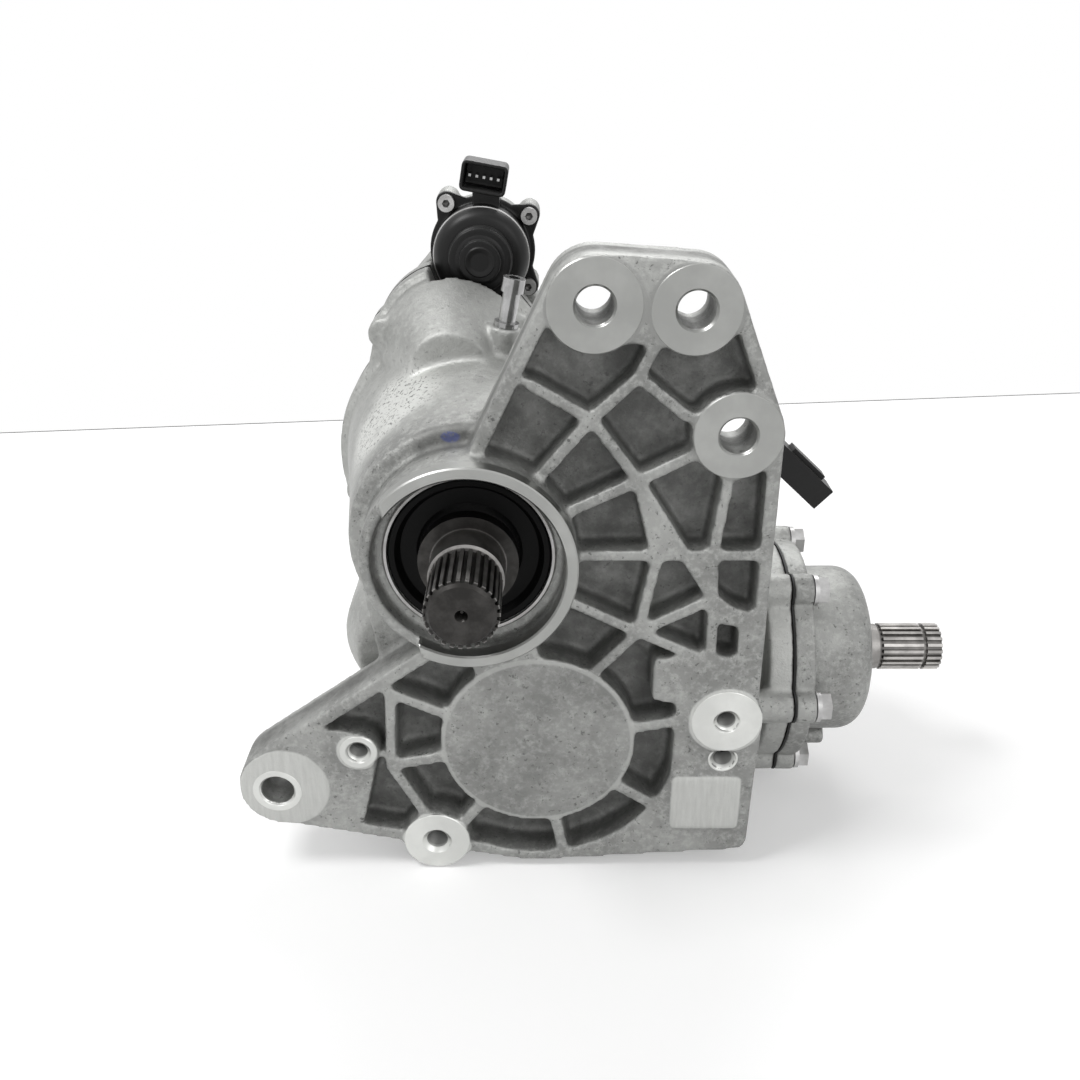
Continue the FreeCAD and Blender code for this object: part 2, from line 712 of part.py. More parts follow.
def main_housing():
    bosses = [
        (boss_one, s.boss_one_radius), (boss_two, s.boss_two_radius),
        (boss_three, s.boss_three_radius), (side_tapped, s.side_tapped_radius),
        (foot, s.foot_radius), (small_boss, s.small_boss_radius),
    ]
    boss_rods = [rod(radius, 0, s.plate_back_y, place) for place, radius in bosses]
    boss_rods.append(rod(s.ear_radius, 0, s.ear_back_y, ear))
    plate = joined([
        pushed(upper_belt(0), s.rib_face_y, s.plate_back_y),
        pushed(lower_belt(0), s.rib_face_y, s.plate_back_y),
        pushed(arm_belt(0), s.rib_face_y, s.ear_back_y),
        rod(s.collar_radius, s.rib_face_y, s.plate_back_y, AXLE),
    ] + boss_rods)
    pockets = joined([
        pushed(upper_belt(s.wall), s.rib_face_y - 1, s.pocket_floor_y),
        pushed(arm_belt(s.wall), s.rib_face_y - 1, s.pocket_floor_y),
        rod(s.dome_outer_radius - s.dome_wall, s.rib_face_y - 1, s.dome_floor_y, COUNTER),
    ])
    keep = boss_rods + plate_ribs() + arm_ribs() + solid_areas()
    keep += [dome_rib(degrees) for degrees in (191, 233, 281, 326.5, 10)]
    keep += [
        rod(s.dome_face_radius, s.rib_face_y, s.plate_back_y, COUNTER),
        rod(s.collar_radius, s.rib_face_y, s.plate_back_y, AXLE),
        rib(AXLE, around(COUNTER, 20, 110), 30.0, s.rib_face_y, s.plate_back_y),
    ]
    front = plate.cut(pockets.cut(joined(keep)))
    back_tray = pushed(upper_belt(s.wall), cavity_front_y, s.plate_back_y + 1)
    back_tray = back_tray.cut(joined([
        rod(radius, 0, s.plate_back_y + 2, place) for place, radius in bosses[:4]]))
    front = front.cut(back_tray)

    pad = block((s.corner_x - s.pad_width, 0, s.pad_bottom_z), (s.corner_x, 4, s.pad_top_z))
    bell = joined([
        taper(s.bell_front_radius, s.bell_mid_radius, cavity_front_y - s.plate_web, s.bell_mid_y, AXLE),
        taper(s.bell_mid_radius, s.bell_rear_radius, s.bell_mid_y, s.rear_y, AXLE),
        rod(s.counter_bell_radius, s.plate_back_y - 10, s.rear_y, COUNTER),
        pushed(belt([(0, 0, s.bell_front_radius), (s.counter_x, s.counter_z, s.counter_bell_radius)]),
               cavity_front_y, s.rear_y),
        taper(s.lobe_radius - 22, s.lobe_radius - 4, s.lobe_front_y - 6, s.lobe_front_y + 28, LOBE),
        rod(s.lobe_radius - 4, s.lobe_front_y + 28, s.rear_y, LOBE),
    ])
    bulge = joined([
        taper(s.bulge_radius - 8, s.bulge_radius, s.bulge_front_y, s.bulge_front_y + 18, bulge_at),
        rod(s.bulge_radius, s.bulge_front_y + 18, s.bulge_rear_y - 10, bulge_at),
        taper(s.bulge_radius, s.bulge_radius - 8, s.bulge_rear_y - 10, s.bulge_rear_y, bulge_at),
    ])
    main, lobe = rim_outline()
    rim = joined([pushed(main, s.rim_front_y, s.rear_y), pushed(lobe, s.rim_front_y, s.rear_y)])
    lugs = [rod(cover_lug_radius, s.rear_y - s.cover_lug_length, s.rear_y, place)
            for place in cover_bolts]
    neck_parts = [
        taper(s.neck_radius - 2, s.neck_radius, s.counter_x, s.neck_end_x - s.neck_flange,
              pinion_axis, "x"),
        rod(s.neck_flange_radius, s.neck_end_x - s.neck_flange, s.neck_end_x, pinion_axis, "x"),
    ]
    neck_parts += [rod(s.neck_lug_radius, s.neck_end_x - 2.2 * s.neck_flange, s.neck_end_x,
                       neck_place(index), "x") for index in range(6)]
    pipe_boss = Part.makeCylinder(pipe_boss_radius, s.pipe_boss_length, pipe_boss_end,
                                  -pipe_axis)
    collar = ring(s.collar_radius, s.collar_bore, s.collar_front_y, collar_start_y, AXLE)
    step = pushed(flat_face([(-60, -8), (-20, -50), (-24, 4), (-40, 36), (-60, 40)]),
                  s.collar_front_y - 1, s.collar_step_y)
    collar = collar.cut(step)
    outer = joined([front, pad, bell, bulge, rim, collar, pipe_boss] + lugs + neck_parts)

    cavity = [
        taper(s.bell_front_radius - s.wall + 2, s.bell_mid_radius - s.wall, cavity_front_y,
              s.bell_mid_y, AXLE),
        taper(s.bell_mid_radius - s.wall, s.bell_rear_radius - s.wall, s.bell_mid_y,
              s.rear_y + 1, AXLE),
        rod(s.counter_bell_radius - s.wall, cavity_front_y + 3, s.rear_y + 1, COUNTER),
        pushed(belt([(0, 0, s.bell_front_radius - s.wall),
                     (s.counter_x, s.counter_z, s.counter_bell_radius - s.wall)]),
               cavity_front_y + 3, s.rear_y + 1),
    ]
    cavity.append(rod(s.bulge_radius - s.wall, s.bulge_front_y + 18, s.bulge_rear_y - 10, bulge_at))
    lobe_hollow = rod(s.lobe_radius - 4 - s.wall, s.lobe_front_y + 26, s.rear_y + 1, LOBE)
    saddle_front_y = s.motor_flange_y - s.motor_length - 2 * s.saddle_gap
    saddle = rod(s.motor_radius + s.saddle_gap, saddle_front_y, s.rear_y + 1, MOTOR)
    saddle_wall = rod(s.motor_radius + s.saddle_gap + s.wall, saddle_front_y - s.wall,
                      s.rear_y + 2, MOTOR)
    cavity.append(lobe_hollow.cut(saddle_wall))
    inner = joined(cavity).cut(joined(lugs))
    bearing_carriers = joined([
        rod(s.case_bearing_outer + s.wall, 0, case_flange_y - s.case_gear_width - 1, AXLE),
        rod(s.counter_bearing_outer + s.wall, 0, s.case_gear_y - 3, COUNTER),
        rod(s.head_bearing_outer + s.wall, s.head_bearing_x - 1, s.neck_end_x, pinion_axis, "x"),
    ])
    housing = outer.cut(inner.cut(bearing_carriers)).cut(saddle)

    bores = [
        rod(s.case_bearing_outer, case_bearing_y, s.case_gear_y + 5, AXLE),
        rod(s.case_bearing_outer - s.bearing_lip, 0, s.case_gear_y, AXLE),
        rod(s.front_seal_radius, s.collar_front_y - 1, case_bearing_y - 2, AXLE),
        rod(s.collar_bore, s.collar_front_y - 1, s.collar_floor_y, AXLE),
        rod(s.counter_bearing_outer, s.counter_front_y, s.case_gear_y, COUNTER),
        rod(s.head_bearing_outer, s.head_bearing_x, head_end_x, pinion_axis, "x"),
        rod(s.head_bearing_outer - 4, s.counter_x + 20, head_end_x + 1, pinion_axis, "x"),
        taper(s.head_bearing_outer - 4, s.neck_radius - s.wall, head_end_x + 6, s.neck_end_x + 1,
              pinion_axis, "x"),
        rod(s.head_bearing_outer - 4, head_end_x, head_end_x + 7, pinion_axis, "x"),
    ]
    bores += [rod(s.top_bolt_radius, -1, s.plate_back_y + 1, place)
              for place in (boss_one, boss_two, boss_three)]
    bores += [
        rod(s.ear_bolt_radius, -1, s.ear_back_y + 1, (s.ear_hole_x, s.ear_hole_z)),
        rod(s.side_thread_radius, -1, s.side_thread_depth, side_tapped),
        rod(s.lower_hole_radius, -1, s.lower_hole_depth, lower_hole),
        rod(s.foot_thread_radius, -1, s.foot_thread_depth, foot),
        rod(s.small_thread_radius, -1, s.small_thread_depth, small_boss),
        Part.makeCylinder(s.pipe_radius, s.pipe_root + s.pipe_seat + 1, pipe_end, pipe_axis),
        Part.makeCylinder(pipe_boss_radius, s.pipe_length, pipe_boss_end, pipe_axis),
    ]
    bores += [rod(s.cover_bolt_radius, s.rear_y - s.cover_bolt_depth, s.rear_y + 1, place)
              for place in cover_bolts]
    bores += [rod(s.cover_bolt_radius, s.neck_end_x - s.cover_bolt_depth, s.neck_end_x + 1,
                  neck_place(index), "x") for index in range(6)]
    return housing.cut(joined(bores)).removeSplitter()


clutch_wall = s.clutch_radius - s.wall
sleeve_middle_y = s.sleeve_front_y + s.sleeve_length / 2
fork_front_y = sleeve_middle_y - s.fork_thickness / 2
dog_split_y = sleeve_middle_y
chamber_end = "(sleeve_front_y + sleeve_length + sleeve_travel + chamber_gap)"
chamber_end_y = value(chamber_end)
output_bearing_start = "(%s + 1)" % chamber_end
output_bearing_y = value(output_bearing_start)
output_seal_start = "(%s + output_bearing_width + 0.4)" % output_bearing_start
output_seal_y = value(output_seal_start)
cover_front_y = s.rear_y + s.gasket
motor_flange_radius = s.motor_radius + 3.0
motor_ear_circle = s.motor_radius + s.motor_ear_offset
motor_ears_at = [around(MOTOR, motor_ear_circle, degrees) for degrees in (127, 36, 322)]
clutch_lug_end_y = s.clutch_front_y + 8.0
clutch_bolts_at = [
    around(AXLE, s.clutch_radius + cover_lug_radius + 0.5, degrees) for degrees in (15, 175, 215, 325)
]
actuator_seat_y = s.motor_flange_y + s.motor_seat_depth


def rear_cover():
    main, lobe = rim_outline()
    plate = joined([pushed(main, cover_front_y, s.clutch_front_y),
                    pushed(lobe, cover_front_y, s.clutch_front_y)])
    lugs = [rod(cover_lug_radius, cover_front_y, s.clutch_front_y, place) for place in cover_bolts]
    carriers = [
        rod(s.case_bearing_outer + s.wall, case_rear_y + 1, s.clutch_front_y, AXLE),
        rod(s.counter_bearing_outer + s.wall, counter_rear_y + 1, s.clutch_front_y, COUNTER),
    ]
    rib_back_y = s.clutch_front_y + s.rib_width
    cover_rib_inset = 13.0
    ribs = [
        rib(around(AXLE, s.case_bearing_outer + 2, degrees),
            around(AXLE, s.rim_radius - cover_rib_inset, degrees), s.rib_width,
            s.clutch_front_y, rib_back_y) for degrees in (258, 300)
    ] + [
        rib(COUNTER, around(COUNTER, s.counter_rim_radius - cover_rib_inset, degrees), s.rib_width,
            s.clutch_front_y, rib_back_y) for degrees in (226, 318, 10)
    ]
    boss = taper(s.counter_bearing_outer + s.wall, s.counter_bearing_outer + 2, s.clutch_front_y,
                 rib_back_y + 4, COUNTER)
    body = joined([plate, boss] + lugs + carriers + ribs)
    hollow_main = rim_outline(-14)[0]
    hollow = pushed(hollow_main, cover_front_y - 1, s.clutch_front_y - s.wall)
    body = body.cut(hollow.cut(joined(carriers)))
    cuts = [
        rod(s.case_bearing_outer, case_rear_y - 2, rear_bearing_end_y, AXLE),
        rod(s.case_bearing_outer - s.bearing_lip, case_rear_y - 2, s.clutch_front_y + 10, AXLE),
        rod(s.counter_bearing_outer, counter_rear_y - 2, counter_end_y, COUNTER),
        rod(s.counter_bearing_outer - s.bearing_lip, counter_rear_y - 2, counter_end_y + 6, COUNTER),
        rod(s.rail_radius, cover_front_y - 2, s.clutch_front_y + 1, RAIL),
        rod(s.motor_radius + s.saddle_gap, s.rear_y - 20, s.clutch_front_y + 1, MOTOR),
        rod(s.clutch_radius, s.clutch_front_y, s.clutch_front_y + 20, AXLE),
    ]
    cuts += [rod(s.cover_bolt_radius + s.bolt_clearance, s.rear_y, s.clutch_front_y + 1, place)
             for place in cover_bolts]
    cuts += [rod(s.cover_bolt_radius, s.clutch_front_y - 10, s.clutch_front_y + 10, place)
             for place in clutch_bolts_at]
    cuts += [rod(cover_lug_radius + 1.0, s.clutch_front_y, s.clutch_front_y + 10, place)
             for place in clutch_bolts_at]
    return body.cut(joined(cuts)).removeSplitter()


def rear_gasket():
    main, lobe = rim_outline()
    inner_main, inner_lobe = rim_outline(-5.5)
    outer = joined([pushed(main, s.rear_y, cover_front_y), pushed(lobe, s.rear_y, cover_front_y)]
                   + [rod(cover_lug_radius, s.rear_y, cover_front_y, place) for place in cover_bolts])
    inner = joined([pushed(inner_main, s.rear_y - 1, cover_front_y + 1),
                    pushed(inner_lobe, s.rear_y - 1, cover_front_y + 1)])
    strip = outer.cut(inner)
    around_saddle = ring(s.motor_radius + s.saddle_gap + 5, s.motor_radius + s.saddle_gap,
                         s.rear_y, cover_front_y, MOTOR)
    strip = joined([strip, around_saddle.common(outer)])
    holes = [rod(s.cover_bolt_radius + s.bolt_clearance, s.rear_y - 1, cover_front_y + 1, place)
             for place in cover_bolts]
    holes.append(rod(s.motor_radius + s.saddle_gap, s.rear_y - 1, cover_front_y + 1, MOTOR))
    return strip.cut(joined(holes))


def clutch_housing():
    low_outline = belt([(0, 0, s.clutch_radius), (s.rail_x, s.rail_z, s.rail_radius + s.wall)])
    high_outline = belt([
        (0, 0, s.clutch_radius), (s.motor_x, s.motor_z, s.screw_radius + 7 + s.wall),
        (s.rail_x, s.rail_z, s.rail_radius + s.wall + 4)])
    motor_seat = rod(s.motor_radius + 2, actuator_seat_y, chamber_end_y - 4, MOTOR)
    shell = joined([
        pushed(low_outline, s.clutch_front_y, actuator_seat_y),
        pushed(high_outline, actuator_seat_y, chamber_end_y + 4),
        motor_seat,
        rod(s.output_bearing_outer + s.wall, chamber_end_y, s.clutch_rear_y, AXLE),
    ] + [rod(s.motor_screw_radius + 3, actuator_seat_y, chamber_end_y - 4, place)
         for place in motor_ears_at]
      + [rod(cover_lug_radius, s.clutch_front_y, clutch_lug_end_y, place)
         for place in clutch_bolts_at]
      + [rib(AXLE, place, 2 * cover_lug_radius, s.clutch_front_y, clutch_lug_end_y)
         for place in clutch_bolts_at])
    front_room = [
        rod(motor_flange_radius + 1, s.clutch_front_y - 1, actuator_seat_y, MOTOR),
        rod(8.0, s.clutch_front_y - 1, actuator_seat_y, motor_ears_at[2]),
    ]
    chamber = [
        rod(clutch_wall, s.clutch_front_y - 1, chamber_end_y, AXLE),
        pushed(belt([(0, 0, clutch_wall), (s.motor_x, s.motor_z, s.screw_radius + 7),
                     (s.rail_x, s.rail_z, s.rail_radius + 8)]),
               fork_front_y - 0.5, chamber_end_y),
        rod(s.motor_radius - 1, actuator_seat_y - 1, actuator_seat_y + 2, MOTOR),
        rod(s.rail_radius, s.clutch_front_y - 1, chamber_end_y + 2, RAIL),
        rod(s.screw_radius - 1, chamber_end_y - 1, chamber_end_y + 2, MOTOR),
        rod(s.output_bearing_outer, chamber_end_y - 1, output_bearing_y + s.output_bearing_width, AXLE),
        rod(s.output_bearing_outer - s.bearing_lip + 1, chamber_end_y, s.clutch_rear_y + 1, AXLE),
        rod(s.output_bearing_outer - 2, output_seal_y, s.clutch_rear_y + 1, AXLE),
    ]
    holes = [rod(s.motor_screw_radius, actuator_seat_y - 1, actuator_seat_y + 12, place)
             for place in motor_ears_at]
    holes += [rod(s.cover_bolt_radius + s.bolt_clearance, s.clutch_front_y - 1,
                  clutch_lug_end_y + 1, place) for place in clutch_bolts_at]
    return shell.cut(joined(front_room + chamber + holes)).removeSplitter()


def pinion_cover_lugs(start, end):
    return [rod(s.neck_lug_radius, start, end, neck_place(index), "x")
            for index in range(6)]


cover_start_x = s.neck_end_x + s.gasket
cover_face_x = cover_start_x + s.pinion_cover_flange


def pinion_cover():
    end = s.pinion_cover_end_x
    barrel = rod(s.pinion_cover_radius, cover_start_x, end, pinion_axis, "x")
    rims = [edge for edge in barrel.Edges
            if edge.Closed and abs(edge.BoundBox.XMin - end) < 1e-6 and edge.BoundBox.XLength < 1e-6]
    barrel = barrel.makeFillet(s.pinion_cover_round, rims)
    flange = rod(s.neck_flange_radius, cover_start_x, cover_face_x, pinion_axis, "x")
    lower_lug = rod(5.0, cover_start_x, cover_face_x + 18,
                    (s.pinion_y - 14, s.counter_z - s.pinion_cover_radius - 3), "x")
    body = joined([barrel, flange, lower_lug] + pinion_cover_lugs(cover_start_x, cover_face_x))
    tail_end = s.tail_bearing_x + s.tail_bearing_width
    bores = [
        rod(s.tail_bearing_outer, cover_start_x - 1, tail_end, pinion_axis, "x"),
        rod(s.tail_bearing_outer - s.bearing_lip, cover_start_x, end + 1, pinion_axis, "x"),
        rod(s.pinion_seal_radius, end - 9, end + 1, pinion_axis, "x"),
        ring(s.pinion_cover_radius - s.wall, s.tail_bearing_outer + s.wall, cover_start_x - 1,
             tail_end, pinion_axis, "x"),
    ]
    bores += [rod(s.cover_bolt_radius + s.bolt_clearance, cover_start_x - 1, cover_face_x + 1,
                  neck_place(index), "x") for index in range(6)]
    return body.cut(joined(bores)).removeSplitter()


def pinion_gasket():
    sheet_body = joined([rod(s.neck_flange_radius, s.neck_end_x, cover_start_x, pinion_axis, "x")]
                        + pinion_cover_lugs(s.neck_end_x, cover_start_x))
    holes = [rod(s.neck_radius, s.neck_end_x - 1, cover_start_x + 1, pinion_axis, "x")]
    holes += [rod(s.cover_bolt_radius + s.bolt_clearance, s.neck_end_x - 1, cover_start_x + 1,
                  neck_place(index), "x") for index in range(6)]
    return sheet_body.cut(joined(holes))


def bolt_group(places, radius, length, across, height, seat, direction):
    bolts = []
    for place in places:
        if direction.x:
            base = Vector(seat, place[0], place[1])
        else:
            base = Vector(place[0], seat, place[1])
        bolts.append(hex_bolt(radius - 0.02, length, across, height, base, direction))
    return Part.makeCompound(bolts)


def rollers(inner, outer, start, width, centre, axis, count):
    radius = (outer - inner) / 2 - s.roller_gap
    middle = (outer + inner) / 2
    bodies = []
    for index in range(count):
        place = around(centre, middle, 360.0 * index / count)
        bodies.append(rod(radius, start + 2, start + width - 2, place, axis))
    return Part.makeCompound(bodies)


def bearing(label, journal, outer, start, width, place, axis, count):
    """A roller bearing: outer race, inner race and rollers, each in a node of its own."""
    track = value("(%s - %s) / 4" % (outer, journal))
    turned(label + "_outer_race", [
        ("%s - (%s - %s) / 4" % (outer, outer, journal), start),
        (outer, start),
        (outer, "%s + %s" % (start, width)),
        ("%s - (%s - %s) / 4" % (outer, outer, journal), "%s + %s" % (start, width)),
    ], place, axis)
    turned(label + "_inner_race", [
        (journal, start),
        ("%s + (%s - %s) / 4 + 1" % (journal, outer, journal), start),
        ("%s + (%s - %s) / 4 + 1" % (journal, outer, journal), start + " + 1.6"),
        ("%s + (%s - %s) / 4" % (journal, outer, journal), start + " + 1.6"),
        ("%s + (%s - %s) / 4" % (journal, outer, journal), "%s + %s - 1.6" % (start, width)),
        ("%s + (%s - %s) / 4 + 1" % (journal, outer, journal), "%s + %s - 1.6" % (start, width)),
        ("%s + (%s - %s) / 4 + 1" % (journal, outer, journal), "%s + %s" % (start, width)),
        (journal, "%s + %s" % (start, width)),
    ], place, axis)
    centre = (value(place[0]), value(place[2])) if axis == "y" else (value(place[1]), value(place[2]))
    shaped(label + "_rollers", rollers(
        value(journal) + track, value(outer) - track, value(start), value(width), centre, axis, count))


def seal(label, lip, outer, start, width, place, axis):
    """A lip seal: its lip touches the shaft with the running clearance."""
    turned(label, [
        ("%s + 0.02" % lip, "%s + %s * 0.45" % (start, width)),
        ("%s + 2" % lip, start),
        (outer, start),
        (outer, "%s + %s" % (start, width)),
        ("%s - 1.5" % outer, "%s + %s" % (start, width)),
        ("%s - 1.5" % outer, "%s + 1.5" % start),
        ("%s + 3.5" % lip, "%s + 1.5" % start),
        ("%s + 3" % lip, "%s + %s * 0.7" % (start, width)),
        ("%s + 0.02" % lip, "%s + %s * 0.6" % (start, width)),
    ], place, axis)


def diff_case():
    outer = [
        (s.axle_radius + s.seat_gap, trunnion_front_y),
        (s.trunnion_radius, trunnion_front_y),
        (s.trunnion_radius, s.case_gear_y),
        (s.gear_seat_radius - 3, s.case_gear_y),
        (s.gear_seat_radius, s.case_gear_y + 3),
        (s.gear_seat_radius, case_flange_y),
        (s.gear_seat_radius + s.case_flange_width, case_flange_y),
        (s.gear_seat_radius + s.case_flange_width, case_flange_end_y),
        (s.gear_seat_radius, case_flange_end_y),
        (s.gear_seat_radius, case_flange_end_y + 6),
        (s.case_radius, case_flange_end_y + 8),
        (s.case_radius, case_rear_y - 5),
        (s.trunnion_radius + 6, case_rear_y),
        (s.trunnion_radius, case_rear_y),
        (s.trunnion_radius, rear_bearing_end_y),
        (s.axle_radius + s.seat_gap, rear_bearing_end_y),
    ]
    body = lathe(outer, AXLE)
    low = s.case_centre_y - s.case_cavity_half
    high = s.case_centre_y + s.case_cavity_half
    cavity = rod(s.case_cavity_radius, low, high, AXLE)
    pocket = Part.makeCylinder(spider_pocket, 2 * s.spider_seat,
                               Vector(0, s.case_centre_y, -s.spider_seat), Vector(0, 0, 1))
    pin_hole = Part.makeCylinder(s.cross_pin_radius, 2 * s.case_radius + 2,
                                 Vector(0, s.case_centre_y, -s.case_radius - 1), Vector(0, 0, 1))
    window = block((-s.case_radius - 2, s.case_centre_y - 15, -14),
                   (s.case_radius + 2, s.case_centre_y + 15, 14))
    bolt_holes = [rod(s.case_bolt_radius + 0.2, case_flange_y - 1, case_flange_end_y + 1, place)
                  for place in case_bolts_at]
    return body.cut(joined([cavity, pocket, pin_hole, window] + bolt_holes))


spider_teeth = 10
side_teeth = 16
diff_module = 2 * s.side_pitch / side_teeth
spider_pocket = s.spider_pitch + 1.35 * diff_module
case_flange_end_y = case_flange_y + s.case_flange_thickness
case_bolts_at = [
    around(AXLE, s.gear_seat_radius + s.case_flange_width / 2 + 0.25, 45 * index + 10)
    for index in range(8)
]


def ring_gear():
    pitch = transfer_case_pitch
    first = math.atan2(s.counter_z, s.counter_x)
    gear = pushed(spur_face(case_teeth, pitch, s.gear_module, first), s.case_gear_y, case_flange_y)
    bore = rod(s.gear_seat_radius, s.case_gear_y - 1, case_flange_y + 1, AXLE)
    holes = [rod(s.case_bolt_radius, s.case_gear_y + 2, case_flange_y + 1, place)
             for place in case_bolts_at]
    return gear.cut(joined([bore] + holes))


centre_distance = math.hypot(s.counter_x, s.counter_z)
case_teeth = int(round(2 * centre_distance / s.gear_module * 36.0 / 78.0))
counter_teeth = int(round(case_teeth * 42.0 / 36.0))
transfer_case_pitch = centre_distance * case_teeth / (case_teeth + counter_teeth)
transfer_counter_pitch = centre_distance - transfer_case_pitch
counter_gear_y = s.case_gear_y + (s.case_gear_width - s.counter_gear_width) / 2
counter_hub_radius = s.counter_journal + 5


def counter_gear():
    first = math.atan2(-s.counter_z, -s.counter_x) + math.pi / counter_teeth
    face = spur_face(counter_teeth, transfer_counter_pitch, s.gear_module, first)
    face = face.translated(Vector(s.counter_x, 0, s.counter_z))
    gear = pushed(face, counter_gear_y, counter_gear_y + s.counter_gear_width)
    bore = rod(counter_hub_radius, counter_gear_y - 1, counter_gear_y + 20, COUNTER)
    lighten = [rod(5.5, counter_gear_y - 1, counter_gear_y + 20, around(COUNTER, 31, 60 * index))
               for index in range(6)]
    return gear.cut(joined([bore] + lighten))


ring_teeth = 33
pinion_teeth = 15
bevel_flange_y = s.bevel_back_y - 5.0
bevel_module = 2 * s.bevel_pitch / ring_teeth
bevel_bolts_at = [around(COUNTER, s.bevel_bolt_circle, 60 * index) for index in range(6)]
APEX = Vector(s.counter_x, s.pinion_y, s.counter_z)


def bevel_ring():
    back = s.pinion_y - s.bevel_back_y
    gear = bevel_gear(ring_teeth, s.bevel_pitch, s.pinion_pitch, bevel_module, s.bevel_face, 0.0,
                      back, s.bevel_seat_radius)
    turn = Rotation(ALONG_X, ALONG_Y.negative().cross(ALONG_X), ALONG_Y.negative(), "ZXY")
    gear.Placement = Placement(APEX, turn)
    holes = [rod(s.bevel_bolt_radius, s.bevel_back_y - 1, s.bevel_back_y + 8, place)
             for place in bevel_bolts_at]
    return gear.cut(joined(holes))


def pinion_shaft():
    half_step = math.pi / pinion_teeth
    wedges, cone, root, near, far = bevel_teeth(
        pinion_teeth, s.pinion_pitch, s.bevel_pitch, bevel_module, s.bevel_face, half_step)
    gear = Part.makeCompound(wedges)
    turn = Rotation(ALONG_Y.negative(), ALONG_X.cross(ALONG_Y.negative()), ALONG_X, "ZXY")
    gear.Placement = Placement(APEX, turn)
    seat = root + 0.012
    start_x = s.counter_x + near * math.cos(seat)
    end_x = s.counter_x + far * math.cos(seat)
    tail_end = s.tail_bearing_x + s.tail_bearing_width
    groove = s.pinion_spline_radius - 1.4
    profile = [
        (0, start_x), (near * math.sin(seat), start_x), (far * math.sin(seat), end_x),
        (far * math.sin(seat) + 1, end_x + 1), (s.head_journal + 5, s.head_bearing_x),
        (s.head_journal, s.head_bearing_x), (s.head_journal, head_end_x),
        (s.tail_journal, head_end_x), (s.tail_journal, s.pinion_cover_end_x + 2.6),
        (s.tail_journal - 1.2, s.pinion_cover_end_x + 3.6),
        (groove, s.pinion_cover_end_x + 3.6), (groove, s.pinion_cover_end_x + 5.8),
        (s.pinion_spline_radius - 0.4, s.pinion_cover_end_x + 5.8),
        (s.pinion_spline_radius - 0.4, s.pinion_spline_start_x - 2),
        (s.pinion_spline_root, s.pinion_spline_start_x),
        (s.pinion_spline_root, s.pinion_end_x - 0.8), (s.pinion_spline_root - 0.8, s.pinion_end_x),
        (0, s.pinion_end_x),
    ]
    core = lathe(profile, pinion_axis, "x")
    spline = pushed(spline_face(22, s.pinion_spline_radius, s.pinion_spline_root - 0.25), 0,
                    s.pinion_end_x - s.pinion_spline_start_x)
    spline.Placement = Placement(Vector(s.pinion_spline_start_x, s.pinion_y, s.counter_z),
                                 Rotation(Vector(0, 0, 1), -90))
    clip_groove = ring(s.pinion_spline_radius + 2, s.pinion_spline_root - 0.6,
                       s.pinion_end_x - 9.6, s.pinion_end_x - 7.6, pinion_axis, "x")
    shaft = core.multiFuse(list(gear.Solids) + [spline])
    return shaft.cut(clip_groove)


def counter_shaft():
    start_y = s.counter_front_y + s.seat_gap
    flange_radius = s.bevel_bolt_circle + 5
    profile = [
        (0, start_y), (s.counter_journal, start_y),
        (s.counter_journal, counter_gear_y - 3), (counter_hub_radius + 3, counter_gear_y - 3),
        (counter_hub_radius + 3, counter_gear_y), (counter_hub_radius, counter_gear_y),
        (counter_hub_radius, bevel_flange_y), (flange_radius, bevel_flange_y),
        (flange_radius, s.bevel_back_y), (s.bevel_seat_radius, s.bevel_back_y),
        (s.bevel_seat_radius, s.bevel_back_y + 8), (s.counter_journal + 2, s.bevel_back_y + 12),
        (s.counter_journal + 2, counter_rear_y - 1), (s.counter_journal, counter_rear_y - 1),
        (s.counter_journal, counter_end_y), (0, counter_end_y),
    ]
    holes = [rod(s.bevel_bolt_radius + 0.2, bevel_flange_y - 1, s.bevel_back_y + 1, place)
             for place in bevel_bolts_at]
    return lathe(profile, COUNTER).cut(joined(holes))


def diff_gear(teeth, pitch, mate, first_tooth, back, bore):
    return bevel_gear(teeth, pitch, mate, diff_module, s.diff_gear_face, first_tooth, back, bore)


def side_gear(sign):
    """sign -1 is the front side gear, +1 the rear one."""
    centre = Vector(0, s.case_centre_y, 0)
    back = s.spider_pitch + 5.5
    gear = diff_gear(side_teeth, s.side_pitch, s.spider_pitch, 0.0, back, s.side_bore)
    axis = Vector(0, sign, 0)
    turn = Rotation(Vector(0, 0, 1), axis.cross(Vector(0, 0, 1)), axis, "ZXY")
    gear.Placement = Placement(centre, turn)
    ends = sorted([s.case_centre_y + sign * (back - 1),
                   s.case_centre_y + sign * (s.case_cavity_half - s.seat_gap)])
    hub = ring(s.side_bore + 5, s.side_bore, ends[0], ends[1], AXLE)
    return gear.fuse(hub)


def spider_gear(sign):
    centre = Vector(0, s.case_centre_y, 0)
    gear = diff_gear(spider_teeth, s.spider_pitch, s.side_pitch, math.pi / spider_teeth,
                     s.spider_seat - s.seat_gap, s.cross_pin_radius + s.running_gap)
    axis = Vector(0, 0, sign)
    turn = Rotation(ALONG_Y, axis.cross(ALONG_Y), axis, "ZXY")
    gear.Placement = Placement(centre, turn)
    return gear


